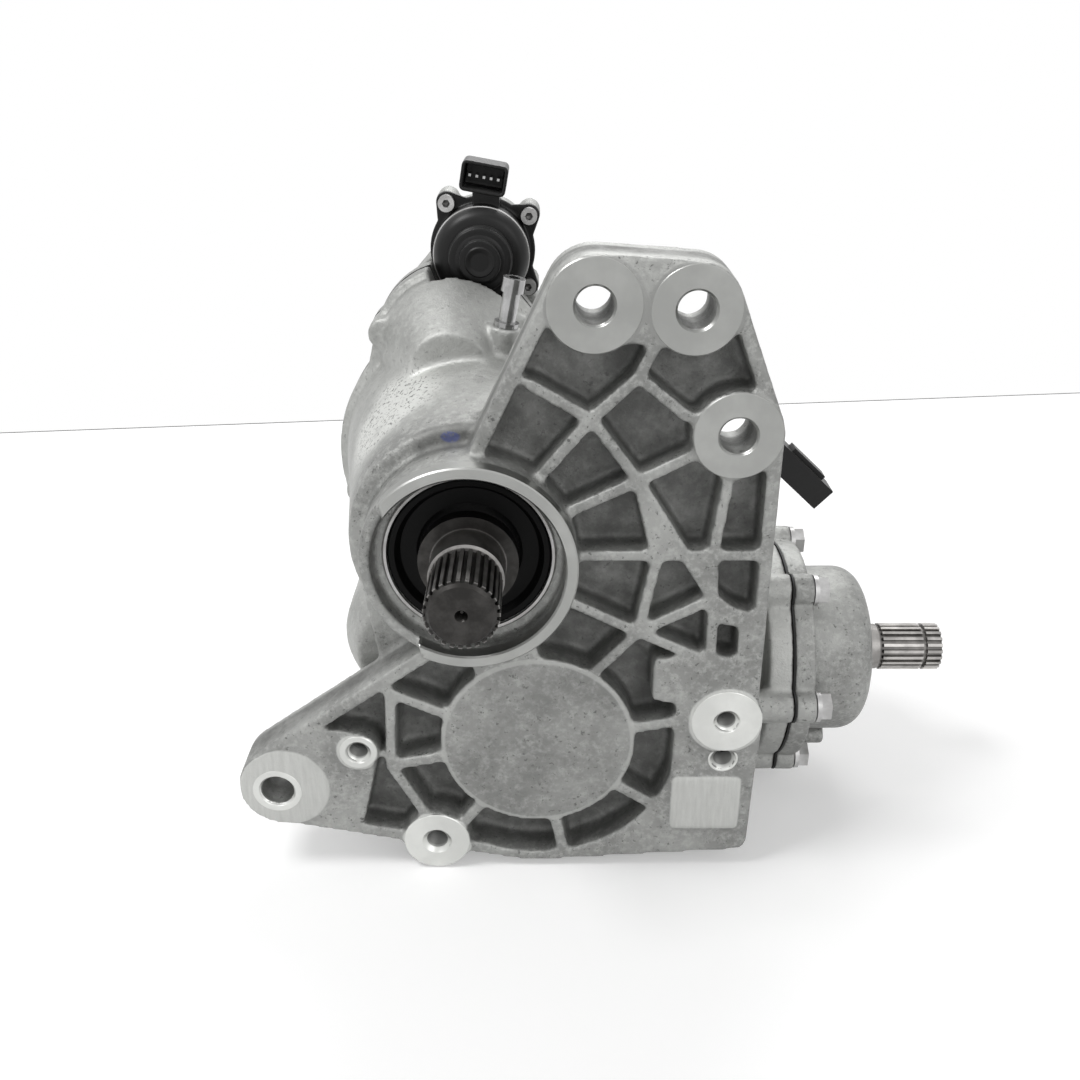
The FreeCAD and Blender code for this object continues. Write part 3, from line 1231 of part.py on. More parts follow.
def front_stub_shaft():
    inner_end = s.case_centre_y - s.spider_pitch + 3.0
    step = s.case_centre_y - s.case_cavity_half
    spline_end = s.stub_end_y + s.stub_spline_length
    root = s.stub_spline_radius - 1.3
    profile = [
        (0, s.stub_end_y), (root - 1.2, s.stub_end_y), (root, s.stub_end_y + 1.2),
        (root, spline_end), (s.stub_neck_radius, spline_end + 1.5),
        (s.stub_neck_radius, s.collar_floor_y - 7), (s.stub_ring_radius, s.collar_floor_y - 7),
        (s.stub_ring_radius, s.collar_floor_y - 0.5), (s.axle_radius, s.collar_floor_y - 0.5),
        (s.axle_radius, step), (s.side_bore, step),
        (s.side_bore, inner_end), (0, inner_end),
    ]
    core = lathe(profile, AXLE)
    spline = pushed(spline_face(27, s.stub_spline_radius, root - 0.25), s.stub_end_y + 1.2, spline_end)
    centre_hole = taper(2.6, 0.6, s.stub_end_y - 0.1, s.stub_end_y + 3.2, AXLE)
    return core.fuse(spline).cut(centre_hole)


def dog_teeth(start, end):
    face = spline_face(18, s.dog_radius, s.dog_radius - 2.2)
    return pushed(face, start, end)


def inner_dog_shaft():
    start = s.case_centre_y + s.spider_pitch - 3.0
    step = s.case_centre_y + s.case_cavity_half
    body = rod(s.side_bore, start, step + 1, AXLE).fuse(rod(s.axle_radius, step, dog_split_y, AXLE))
    return body.fuse(dog_teeth(rear_bearing_end_y + 3, dog_split_y))


def rear_output_shaft():
    profile = [
        (0, dog_split_y), (s.axle_radius, dog_split_y), (s.axle_radius + 3, dog_split_y),
        (s.axle_radius + 3, output_bearing_y - 0.4), (s.axle_radius, output_bearing_y - 0.4),
        (s.axle_radius, s.output_end_y - 1.0), (s.axle_radius - 1.0, s.output_end_y),
        (0, s.output_end_y),
    ]
    core = lathe(profile, AXLE)
    body = core.fuse(dog_teeth(dog_split_y, output_bearing_y - 3))
    socket_start = s.output_end_y - s.axle_socket_depth
    socket = rod(s.axle_socket_radius, socket_start, s.output_end_y + 1, AXLE)
    grooves = pushed(spline_face(20, s.axle_socket_radius + 1.0, s.axle_socket_radius - 1),
                     socket_start, s.output_end_y - 6)
    return body.cut(joined([socket, grooves]))


def shift_sleeve():
    start = s.sleeve_front_y
    end = start + s.sleeve_length
    body = rod(s.sleeve_radius, start, end, AXLE)
    gap = s.seat_gap
    face = spline_face(18, s.dog_radius + gap, s.dog_radius - 2.2 + gap, share=0.56)
    bore = pushed(face, start - 1, end + 1)
    groove = ring(s.sleeve_radius + 2, s.sleeve_radius - 3.5, fork_front_y - gap,
                  fork_front_y + s.fork_thickness + gap, AXLE)
    return body.cut(joined([bore, rod(s.dog_radius - 2.2 + gap, start - 1, end + 1, AXLE)])).cut(groove)


def shift_fork():
    outer = s.sleeve_radius + 7
    inner = s.sleeve_radius - 3.5 + s.seat_gap
    front, back = fork_front_y, fork_front_y + s.fork_thickness
    yoke = ring(outer, inner, front, back, AXLE)
    yoke = yoke.cut(block((-outer - 1, front - 1, -outer - 1), (outer + 1, back + 1, -4)))
    arm = pushed(belt([
        (0, outer - 3, 10.0), (s.motor_x, s.motor_z, s.screw_radius + 4),
        (s.rail_x, s.rail_z, s.rail_radius + 4)]), front, back)
    arm = arm.cut(rod(inner + 2, front - 1, back + 1, AXLE))
    nut = rod(s.screw_radius + 4, front, back + 4, MOTOR)
    guide = rod(s.rail_radius + 4, front, back + 5, RAIL)
    body = joined([yoke, arm, nut, guide])
    cuts = [rod(s.screw_radius + s.running_gap, front - 1, back + 6, MOTOR),
            rod(s.rail_radius + s.running_gap, front - 1, back + 6, RAIL)]
    return body.cut(joined(cuts))


SOCKET = (s.motor_x + s.socket_shift, s.motor_z + s.motor_radius + s.socket_rise)


def in_socket(half_width, half_height, front_y, back_y, shift=0.0):
    """A block about the socket's middle, turned with it; shift moves it along the row of pins."""
    x, z = SOCKET
    shape = block((x + shift - half_width, front_y, z - half_height),
                  (x + shift + half_width, back_y, z + half_height))
    shape.rotate(Vector(x, 0, z), ALONG_Y, s.socket_tilt)
    return shape


def actuator_body():
    front = s.motor_flange_y - s.motor_length
    flange = rod(motor_flange_radius, s.motor_flange_y, actuator_seat_y, MOTOR)
    ears = [pushed(belt([(place[0], place[1], s.motor_screw_radius + 2.7),
                         (s.motor_x, s.motor_z, s.motor_radius - 2)]),
                   s.motor_flange_y, actuator_seat_y) for place in motor_ears_at]
    holes = [rod(s.motor_screw_radius + 0.2, s.motor_flange_y - 1, actuator_seat_y + 1, place)
             for place in motor_ears_at]
    steps = [
        rod(s.motor_radius, front + 16, s.motor_flange_y, MOTOR),
        taper(s.motor_radius - 5, s.motor_radius - 1, front + 10, front + 16, MOTOR),
        rod(s.motor_radius - 8, front + 4, front + 10, MOTOR),
        rod(s.motor_radius - 13, front, front + 4, MOTOR),
        rod(s.motor_radius - 1.3, actuator_seat_y, actuator_seat_y + 1.2, MOTOR),
    ]
    neck = block((s.motor_x - 4, s.motor_flange_y - 9, s.motor_z + s.motor_radius - 4),
                 (s.motor_x + 9, actuator_seat_y, SOCKET[1] - 6))
    socket_back_y = s.motor_flange_y + 2
    shroud = block((SOCKET[0] - s.socket_width / 2, socket_back_y - s.socket_depth,
                    SOCKET[1] - s.socket_height / 2),
                   (SOCKET[0] + s.socket_width / 2, socket_back_y, SOCKET[1] + s.socket_height / 2))
    long_edges = [edge for edge in shroud.Edges
                  if abs(edge.BoundBox.YLength - s.socket_depth) < 1e-6]
    shroud = shroud.makeFillet(2.5, long_edges)
    shroud.rotate(Vector(SOCKET[0], 0, SOCKET[1]), ALONG_Y, s.socket_tilt)
    hollow = in_socket(s.socket_width / 2 - s.socket_wall, s.socket_height / 2 - s.socket_wall,
                       socket_back_y - s.socket_depth - 1, socket_back_y - 5)
    bore = rod(s.screw_radius + s.seat_gap, s.motor_flange_y - 6, actuator_seat_y + 3, MOTOR)
    body = joined([flange, neck, shroud] + ears + steps)
    return body.cut(joined([bore, hollow] + holes))


def connector_pins():
    return Part.makeCompound([
        in_socket(0.6, 0.6, s.motor_flange_y - 13, s.motor_flange_y - 3, (index - 2) * s.pin_pitch)
        for index in range(5)])


def actuator_screws():
    screws = []
    for place in motor_ears_at:
        head = rod(s.motor_screw_radius + 1.5, s.motor_flange_y - 4, s.motor_flange_y, place)
        shank = rod(s.motor_screw_radius - 0.02, s.motor_flange_y - 1, actuator_seat_y + 11, place)
        star = pushed(flat_face([around(place, 2.0, 60 * k) for k in range(6)]),
                      s.motor_flange_y - 5, s.motor_flange_y - 1.5)
        screws.append(head.fuse(shank).cut(star))
    return Part.makeCompound(screws)


def breather_pipe():
    tube = Part.makeCylinder(s.pipe_radius - 0.02, s.pipe_length + s.pipe_root, pipe_end, pipe_axis)
    foot_ring = Part.makeCylinder(s.pipe_radius + 1.8, 2.2, pipe_boss_end, pipe_axis)
    cap = Part.makeCylinder(s.pipe_radius + 1.2, 6.5, pipe_base + pipe_axis * (s.pipe_length - 4),
                            pipe_axis)
    bore = Part.makeCylinder(s.pipe_radius - 1.4, s.pipe_length + s.pipe_root + 12,
                             pipe_end - pipe_axis, pipe_axis)
    return tube.multiFuse([foot_ring, cap]).cut(bore)


def plug(centre, start):
    """A fill or drain plug in the back of the rear cover, with a square socket."""
    head = rod(s.oil_plug_radius, start, start + 4, centre)
    square = pushed(flat_face([around(centre, 4.2, 45 + 90 * k) for k in range(4)]),
                    start + 1, start + 5)
    return head.cut(square)


def bracket():
    """A leaf behind the third boss, clear of its bolt, and an arm that reaches back to the plug."""
    right = s.plug_x - s.seat_gap
    low_z = s.plug_z - s.bracket_below
    leaf_back_y = s.plate_back_y + s.bracket_thickness
    leaf = block((s.boss_three_x - s.top_bolt_radius, s.plate_back_y, low_z),
                 (right, leaf_back_y, s.boss_three_z - s.top_bolt_radius - s.bracket_thickness))
    arm = block((right - s.bracket_thickness, s.plate_back_y, low_z),
                (right, s.plate_back_y + s.bracket_length, s.plug_z + s.bracket_above))
    return leaf.fuse(arm)


def wiring_connector():
    body = block((0, 0, 0), (s.plug_length, s.plug_width, s.plug_height))
    latch = block((0.2 * s.plug_length, 0.22 * s.plug_width, s.plug_height),
                  (0.8 * s.plug_length, 0.78 * s.plug_width, s.plug_height + s.plug_latch))
    shape = joined([body, latch])
    shape.rotate(Vector(0, 0, 0), ALONG_Y, s.plug_tilt)
    front_y = s.plate_back_y + s.bracket_length - s.plug_width - 4
    shape.translate(Vector(s.plug_x, front_y, s.plug_z))
    return shape


shaped("main_housing", main_housing())
shaped("rear_gasket", rear_gasket())
shaped("rear_cover", rear_cover())
shaped("clutch_housing", clutch_housing())
shaped("pinion_gasket", pinion_gasket())
shaped("pinion_cover", pinion_cover())
rear_bolts = [
    bolt_group(cover_bolts, s.cover_bolt_radius, s.cover_bolt_length, s.bolt_head_across,
               s.bolt_head_height, s.clutch_front_y, ALONG_Y),
    bolt_group(clutch_bolts_at, s.cover_bolt_radius, s.clutch_bolt_length, s.bolt_head_across,
               s.bolt_head_height, clutch_lug_end_y, ALONG_Y),
]
shaped("rear_bolts", Part.makeCompound(rear_bolts))
shaped("pinion_cover_bolts", bolt_group(
    [neck_place(index) for index in range(6)], s.cover_bolt_radius, s.neck_bolt_length,
    s.bolt_head_across, s.bolt_head_height, cover_face_x, ALONG_X))

axle_line = ("0", "0", "0")
counter_line = ("counter_x", "0", "counter_z")
pinion_line = ("0", "pinion_y", "counter_z")
front_bearing_y = "case_gear_y - case_bearing_width"
rear_bearing_y = "case_centre_y + case_cavity_half + case_end_wall"
bearing("case_front_bearing", "trunnion_radius", "case_bearing_outer", front_bearing_y,
        "case_bearing_width", axle_line, "y", 14)
bearing("case_rear_bearing", "trunnion_radius", "case_bearing_outer", rear_bearing_y,
        "case_bearing_width", axle_line, "y", 14)
bearing("counter_front_bearing", "counter_journal", "counter_bearing_outer", "counter_front_y",
        "counter_bearing_width", counter_line, "y", 10)
bearing("counter_rear_bearing", "counter_journal", "counter_bearing_outer", rear_bearing_y + " + 1",
        "counter_bearing_width", counter_line, "y", 10)
bearing("pinion_head_bearing", "head_journal", "head_bearing_outer", "head_bearing_x",
        "head_bearing_width", pinion_line, "x", 10)
bearing("pinion_tail_bearing", "tail_journal", "tail_bearing_outer", "tail_bearing_x",
        "tail_bearing_width", pinion_line, "x", 10)
bearing("output_bearing", "axle_radius", "output_bearing_outer", output_bearing_start,
        "output_bearing_width", axle_line, "y", 12)

seal("front_axle_seal", "axle_radius", "front_seal_radius", "collar_floor_y", "8", axle_line, "y")
seal("rear_axle_seal", "axle_radius", "output_bearing_outer - 2", output_seal_start,
     "(clutch_rear_y - %s)" % output_seal_start, axle_line, "y")
seal("pinion_seal", "tail_journal", "pinion_seal_radius", "pinion_cover_end_x - 9", "8",
     pinion_line, "x")
turned("pinion_spacer", [
    ("tail_journal", "head_bearing_x + head_bearing_width"),
    ("tail_journal + 3", "head_bearing_x + head_bearing_width"),
    ("tail_journal + 3", "tail_bearing_x"),
    ("tail_journal", "tail_bearing_x"),
], pinion_line, "x")
turned("fork_rail", [
    ("0", "clutch_front_y - 10"),
    ("rail_radius - 0.02", "clutch_front_y - 10"),
    ("rail_radius - 0.02", chamber_end + " + 2"),
    ("0", chamber_end + " + 2"),
], ("rail_x", "0", "rail_z"), "y")
turned("lead_screw", [
    ("0", "motor_flange_y - 5"),
    ("screw_radius", "motor_flange_y - 5"),
    ("screw_radius", chamber_end + " - seat_gap"),
    ("screw_radius - 1 - running_gap", chamber_end + " - seat_gap"),
    ("screw_radius - 1 - running_gap", chamber_end + " + 2 - seat_gap"),
    ("0", chamber_end + " + 2 - seat_gap"),
], ("motor_x", "0", "motor_z"), "y")

shaped("diff_case", diff_case())
shaped("ring_gear", ring_gear())
shaped("ring_gear_bolts", bolt_group(
    case_bolts_at, s.case_bolt_radius, 15.0, 8.0, 4.0, case_flange_end_y, ALONG_Y))
turned("cross_pin", [
    ("0", "-case_radius + 0.5"),
    ("cross_pin_radius", "-case_radius + 0.5"),
    ("cross_pin_radius", "case_radius - 0.5"),
    ("0", "case_radius - 0.5"),
], ("0", "case_centre_y", "0"), "z")
shaped("spider_gear_upper", spider_gear(1))
shaped("spider_gear_lower", spider_gear(-1))
shaped("side_gear_front", side_gear(-1))
shaped("side_gear_rear", side_gear(1))
shaped("front_stub_shaft", front_stub_shaft())
shaped("inner_dog_shaft", inner_dog_shaft())
shaped("rear_output_shaft", rear_output_shaft())
shaped("shift_sleeve", shift_sleeve())
shaped("shift_fork", shift_fork())
shaped("counter_shaft", counter_shaft())
shaped("counter_gear", counter_gear())
shaped("bevel_ring_gear", bevel_ring())
shaped("bevel_ring_bolts", bolt_group(
    bevel_bolts_at, s.bevel_bolt_radius, 10.0, 7.0, 3.0, bevel_flange_y, ALONG_Y.negative()))
shaped("pinion_shaft", pinion_shaft())
shaped("actuator_body", actuator_body())
shaped("connector_pins", connector_pins())
shaped("actuator_screws", actuator_screws())
shaped("breather_pipe", breather_pipe())
shaped("oil_plugs", Part.makeCompound([
    plug(around(COUNTER, s.oil_plug_circle, degrees), s.clutch_front_y) for degrees in (50, 270)]))
shaped("connector_bracket", bracket())
shaped("wiring_connector", wiring_connector())

doc.recompute()

pieces = [item for item in doc.Objects
          if item.TypeId == "PartDesign::Body" or item.Name.startswith("Piece_")]
for item in doc.Objects:
    if "Invalid" in item.State or "Error" in item.State:
        raise RuntimeError("%s did not compute: %s" % (item.Label, item.State))
for item in pieces:
    if item.Shape.isNull() or not item.Shape.isValid():
        raise RuntimeError("%s has no valid shape" % item.Label)

os.makedirs("parts", exist_ok=True)
for item in pieces:
    item.Shape.exportStep("parts/%s.step" % item.Label)
print("%d pieces written" % len(pieces))
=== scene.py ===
import json
import math

import bmesh
import bpy
from mathutils import Matrix, Vector

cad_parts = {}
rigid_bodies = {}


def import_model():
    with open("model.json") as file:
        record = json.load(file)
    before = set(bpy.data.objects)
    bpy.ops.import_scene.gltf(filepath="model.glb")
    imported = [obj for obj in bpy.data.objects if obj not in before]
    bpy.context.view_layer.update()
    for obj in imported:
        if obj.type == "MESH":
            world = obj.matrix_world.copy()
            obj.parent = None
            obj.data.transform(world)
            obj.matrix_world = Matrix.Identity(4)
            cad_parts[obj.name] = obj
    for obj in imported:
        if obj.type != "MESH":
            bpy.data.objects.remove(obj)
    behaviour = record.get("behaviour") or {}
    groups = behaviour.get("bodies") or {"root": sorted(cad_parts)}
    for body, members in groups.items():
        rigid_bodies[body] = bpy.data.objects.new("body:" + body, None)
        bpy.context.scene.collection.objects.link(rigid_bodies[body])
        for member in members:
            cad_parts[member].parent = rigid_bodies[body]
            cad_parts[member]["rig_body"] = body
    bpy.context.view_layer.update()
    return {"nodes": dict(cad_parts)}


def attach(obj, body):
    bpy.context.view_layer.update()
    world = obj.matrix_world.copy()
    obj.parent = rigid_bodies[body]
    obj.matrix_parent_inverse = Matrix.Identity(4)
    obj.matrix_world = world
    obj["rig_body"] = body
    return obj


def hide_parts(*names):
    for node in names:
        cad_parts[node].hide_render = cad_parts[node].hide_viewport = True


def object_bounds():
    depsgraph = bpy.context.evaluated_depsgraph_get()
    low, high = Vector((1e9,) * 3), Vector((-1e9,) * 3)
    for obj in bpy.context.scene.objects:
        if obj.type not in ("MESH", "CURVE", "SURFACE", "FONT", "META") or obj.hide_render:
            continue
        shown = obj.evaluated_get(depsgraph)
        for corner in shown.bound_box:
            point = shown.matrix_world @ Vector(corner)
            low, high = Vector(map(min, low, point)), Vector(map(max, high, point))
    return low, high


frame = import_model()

mm = 0.001
scene = bpy.context.scene
nodes = frame["nodes"]
print("frame loaded:", len(nodes), "pieces")


# One socket of a material. Sums, differences and products with it add Math nodes.
class Wire:
    def __init__(self, tree, socket):
        self.tree = tree
        self.socket = socket

    def math(self, operation, first, second):
        return addNode(self.tree, "Math", {"operation": operation}, {0: first, 1: second})

    def __add__(self, other):
        return self.math("ADD", self, other)

    def __radd__(self, other):
        return self.math("ADD", other, self)

    def __sub__(self, other):
        return self.math("SUBTRACT", self, other)

    def __rsub__(self, other):
        return self.math("SUBTRACT", other, self)

    def __mul__(self, other):
        return self.math("MULTIPLY", self, other)

    def __rmul__(self, other):
        return self.math("MULTIPLY", other, self)


def join(tree, value, socket):
    if isinstance(value, Wire):
        tree.links.new(value.socket, socket)
    else:
        socket.default_value = value


# Any node of a material: its settings first, then the values or wires of its sockets
def addNode(tree, kind, settings, inputs, output=0):
    made = tree.nodes.new("ShaderNode" + kind)
    for name, value in settings.items():
        setattr(made, name, value)
    for name, value in inputs.items():
        join(tree, value, made.inputs[name])
    return Wire(tree, made.outputs[output])


# A procedural material: plain numbers go on the shader's own sockets, wires are linked.
class Finish:
    def __init__(self, name, **sockets):
        self.material = bpy.data.materials.new(name)
        self.material.use_nodes = True
        self.tree = self.material.node_tree
        self.shader = self.tree.nodes["Principled BSDF"]
        self.place = self.node("TexCoord", {}, {}, "Object")
        self.set(**sockets)

    def set(self, **sockets):
        for name, value in sockets.items():
            label = name.replace("_", " ").title().replace("Ior", "IOR")
            join(self.tree, value, self.shader.inputs[label])

    def node(self, kind, settings, inputs, output=0):
        return addNode(self.tree, kind, settings, inputs, output)

    def stretched(self, scale):
        return self.node("Mapping", {}, {"Vector": self.place, "Scale": scale})

    def noise(self, scale, detail, roughness, place=None):
        return self.node("TexNoise", {}, {
            "Vector": place or self.place, "Scale": scale, "Detail": detail, "Roughness": roughness})

    # 0 up to low and 1 from high on; the other way round where low is the larger
    def smooth(self, value, low, high):
        return self.node("MapRange", {"interpolation_type": "SMOOTHSTEP"}, {
            "Value": value, "From Min": low, "From Max": high})

    # a coordinate in mm
    def along(self, axis):
        return self.node("SeparateXYZ", {}, {"Vector": self.place}, axis) * 1000.0

    # distance in mm from a point, with the axes squeezed; 0 leaves an axis out
    def far(self, point, squeeze=(1.0, 1.0, 1.0)):
        scaled = self.node("VectorMath", {"operation": "MULTIPLY"}, {0: self.place, 1: squeeze})
        target = [value * mm * part for value, part in zip(point, squeeze)]
        return self.node("VectorMath", {"operation": "DISTANCE"}, {0: scaled, 1: target}, "Value") * 1000.0

    # colours are the Mix node's sockets 6 and 7, and its third output
    def mix(self, factor, first, second):
        return self.node("Mix", {"data_type": "RGBA"}, {"Factor": factor, 6: first, 7: second}, 2)

    def bump(self, height, strength, distance):
        self.set(normal=self.node("Bump", {}, {
            "Height": height, "Strength": strength, "Distance": distance}))


def grey(value, warmth=0.0):
    return (value * (1 + warmth), value, value * (1 - warmth), 1.0)


# The slightly green-yellow grey of bare die-cast alloy
def alloy(value):
    return (value * 0.995, value * 1.005, value * 0.972, 1.0)


# Finishes

# In these dictionaries a pair is where a fade starts and ends: in mm for a place, and in the noise's own
# 0 to 1 for a pattern. A single number is a noise scale, apart from strength and bright.
castLook = dict(patches=22.0, mottle=310.0, grain=1300.0, specks=420.0, cleanFade=(0.36, 0.66),
                mottleFade=(0.42, 0.70), speckFade=(0.60, 0.70))


# Bare die-cast alloy; the front one adds the painted shade and soot in the pockets, painted light and shade
# on the bell, a paint dab, a painted highlight and the milled flats of the main housing
def castFinish(name, bright, isFront=False):
    look = castLook
    cast = Finish(name, metallic=0.8, specular_ior_level=0.4)
    patches = cast.noise(look["patches"], 5.0, 0.6)
    mottle = cast.noise(look["mottle"], 5.0, 0.72)
    grain = cast.noise(look["grain"], 2.0, 0.6)
    clean = cast.mix(cast.smooth(patches, *look["cleanFade"]), alloy(bright * 0.66), alloy(bright))
    colour = cast.mix(cast.smooth(mottle, *look["mottleFade"]) * 0.55, clean, alloy(bright * 1.40))
    specks = cast.smooth(cast.noise(look["specks"], 3.0, 0.7), *look["speckFade"])
    colour = cast.mix(specks * 0.75, colour, alloy(bright * 0.25))
    rough = 0.40 + mottle * 0.25
    if isFront:
        level = cast.along("Y")
        height = cast.along("Z")
        stain = cast.smooth(cast.noise(pocketShadeAndSoot["stains"], 6.0, 0.7), *pocketShadeAndSoot["stainFade"])
        # painted shade and soot stains in the pockets, and painted light and shade on the bell
        colour, rough = lightShadeAndSoot(cast, colour, rough, bright, level, height, stain)
        colour = domeStained(cast, colour, bright, level, stain)
        # a dab of blue paint and a painted highlight
        colour = paintDabAndHighlight(cast, colour, bright, patches, mottle)
        colour, rough = milledFlats(cast, colour, rough, level, height)
    cast.set(base_color=colour, roughness=rough)
    cast.bump(grain * 0.35 + mottle * 0.9 + patches * 0.7, 0.8, 0.5 * mm)
    return cast.material


pocketShadeAndSoot = dict(strength=0.95, stains=55.0, stainFade=(0.34, 0.68), mouth=(3.0, 12.0), floor=(21.0, 17.8),
                  leftOfBell=(-18.0, -26.0), bellFoot=(-44.0, -36.0), bellFront=(22.0, 34.0),
                  crownHeight=(74.0, 92.0), crownFront=(40.0, 60.0))


# Painted shade, broken up by dust and oil stains, in the pockets of the front plate; a painted highlight
# makes the bell behind it brighter, and painted shade makes it darker at its crown
def lightShadeAndSoot(cast, colour, rough, bright, level, height, stain):
    look = pocketShadeAndSoot
    onBell = cast.smooth(cast.along("X"), *look["leftOfBell"]) * cast.smooth(height, *look["bellFoot"])
    inPocket = cast.smooth(level, *look["mouth"]) * cast.smooth(level, *look["floor"]) * (1.0 - onBell)
    # painted shade deep in the pockets, broken up by soot stains
    shadeAndSoot = inPocket * (0.50 + stain * 0.50) * look["strength"]
    # painted highlight: the bell behind the plate is made brighter
    colour = cast.mix(cast.smooth(level, *look["bellFront"]) * 0.34, colour, alloy(bright * 1.40))
    # painted shade: the crown of the bell is made darker
    crown = cast.smooth(height, *look["crownHeight"]) * cast.smooth(level, *look["crownFront"])
    colour = cast.mix(crown * 0.6, colour, alloy(bright * 0.62))
    return cast.mix(shadeAndSoot, colour, alloy(bright * 0.40)), rough + shadeAndSoot * 0.2


domeFloor = dict(centre=(28.3, 0, -93.3), disc=(43.0, 40.5), front=(6.0, 4.0),
                 rimInner=(41.2, 42.2), rimOuter=(44.6, 43.8), rimFront=(3.0, 2.0))


# The round floor over the lower bearing, stained inside a brighter rim
def domeStained(cast, colour, bright, level, stain):
    look = domeFloor
    radius = cast.far(look["centre"], (1.0, 0.0, 1.0))
    disc = cast.smooth(radius, *look["disc"]) * cast.smooth(level, *look["front"])
    colour = cast.mix(disc * (0.04 + stain * 0.34), colour, alloy(bright * 0.42))
    rim = (cast.smooth(radius, *look["rimInner"]) * cast.smooth(radius, *look["rimOuter"])
           * cast.smooth(level, *look["rimFront"]))
    return cast.mix(rim * 0.6, colour, alloy(bright * 1.25))


paintDab = dict(centre=(-7, 15.5, 48), squeeze=(1.0, 0.3, 1.7), edge=(4.6, 3.0), breaks=(0.35, 0.5),
                colour=(0.07, 0.10, 0.36, 1.0))
bellHighlight = dict(centre=(-38, 60, 42), edge=(36.0, 18.0), breaks=(0.30, 0.52), pits=650.0,
                pitFade=(0.56, 0.62))


# A dab of blue paint above the register, and a painted highlight with dark pits in it on the upper left of
# the bell
def paintDabAndHighlight(cast, colour, bright, patches, mottle):
    dab = (cast.smooth(cast.far(paintDab["centre"], paintDab["squeeze"]), *paintDab["edge"])
           * cast.smooth(mottle, *paintDab["breaks"]))
    colour = cast.mix(dab * 0.5, colour, paintDab["colour"])
    # painted highlight on the upper left of the bell
    shine = (cast.smooth(cast.far(bellHighlight["centre"]), *bellHighlight["edge"])
             * cast.smooth(patches, *bellHighlight["breaks"]))
    colour = cast.mix(shine * 0.8, colour, alloy(min(bright * 1.9, 0.9)))
    pits = cast.smooth(cast.noise(bellHighlight["pits"], 3.0, 0.6), *bellHighlight["pitFade"])
    return cast.mix(shine * pits * 0.8, colour, alloy(bright * 0.3))


milledFront = dict(bright=0.50, level=(0.75, 0.35), register=(45.5, 46.5), brighterBelow=(10.0, -40.0),
                   scratches=520.0)


# Milled flats at the front, darker at the top bosses and brighter at the ear, the foot and the pad
def milledFlats(cast, colour, rough, level, height):
    look = milledFront
    outside = cast.smooth(cast.far((0, 0, 0), (1.0, 0.0, 1.0)), *look["register"])
    flat = cast.smooth(level, *look["level"]) * outside
    scratches = cast.noise(look["scratches"], 3.0, 0.6, cast.stretched((1.0, 1.0, 0.12)))
    milled = cast.mix(cast.smooth(height, *look["brighterBelow"]), alloy(look["bright"] * 0.62),
                      alloy(look["bright"] * 1.25))
    cut = cast.mix(scratches * 0.5, milled, alloy(look["bright"] * 0.45))
    return cast.mix(flat, colour, cut), rough - flat * 0.12


machinedLook = dict(streaks=700.0, squeeze=(1.0, 1.0, 0.06), clouds=45.0, cloudFade=(0.35, 0.7),
                    deepDarkening=(0.9, 4.0))


# A turned or milled face; it grows darker deeper inside its bores and threads
def machinedFinish(name, bright):
    look = machinedLook
    milled = Finish(name, metallic=1.0)
    streaks = milled.noise(look["streaks"], 3.0, 0.6, milled.stretched(look["squeeze"]))
    clouds = milled.noise(look["clouds"], 4.0, 0.55)
    colour = milled.mix(milled.smooth(clouds, *look["cloudFade"]), alloy(bright * 0.85), alloy(bright))
    # darker deeper inside the bores and threads
    deepDarkening = milled.smooth(milled.along("Y"), *look["deepDarkening"])
    milled.set(base_color=milled.mix(deepDarkening * 0.85, colour, alloy(bright * 0.14)))
    milled.set(roughness=0.27 + streaks * 0.12 + clouds * 0.08 + deepDarkening * 0.1)
    milled.bump(streaks, 0.25, 0.06 * mm)
    return milled.material


steelLook = dict(film=90.0, splineFilm=110.0, marks=900.0, filmFade=(0.35, 0.68), splineFade=(0.35, 0.7),
                 wearFade=(0.35, 0.65))


def steelFinish(name, bright, warmth, roughness):
    steel = Finish(name, metallic=1.0)
    film = steel.noise(steelLook["film"], 5.0, 0.6)
    marks = steel.noise(steelLook["marks"], 3.0, 0.6)
    steel.set(base_color=steel.mix(steel.smooth(film, *steelLook["filmFade"]),
                                   grey(bright * 0.7, warmth), grey(bright, warmth * 0.5)))
    steel.set(roughness=roughness + film * 0.12 + marks * 0.06)
    steel.bump(marks, 0.2, 0.05 * mm)
    return steel.material


# Splined steel, dark in the roots and bright on the worn tips; reach is the radii of both, in mm.
def splineFinish(name, dark, bright, centre, squeeze, reach):
    steel = Finish(name, metallic=1.0)
    radius = steel.far(centre, squeeze)
    film = steel.noise(steelLook["splineFilm"], 5.0, 0.6)
    marks = steel.noise(steelLook["marks"], 3.0, 0.6)
    root, tip = reach
    tips = steel.smooth(radius, root, tip) * steel.smooth(radius, tip + 1.5, tip + 0.6)
    wear = tips * (0.55 + steel.smooth(film, *steelLook["wearFade"]) * 0.45)
    base = steel.mix(steel.smooth(film, *steelLook["splineFade"]), grey(dark * 0.7, 0.04),
                     grey(dark * 1.3, 0.04))
    steel.set(base_color=steel.mix(wear, base, grey(bright, 0.03)))
    steel.set(roughness=0.30 + film * 0.12)
    steel.bump(marks, 0.2, 0.05 * mm)
    return steel.material


mouldedLook = dict(dustAndSheen=120.0, grain=1800.0, dustFade=(0.5, 0.8), upward=(0.55, 0.95))


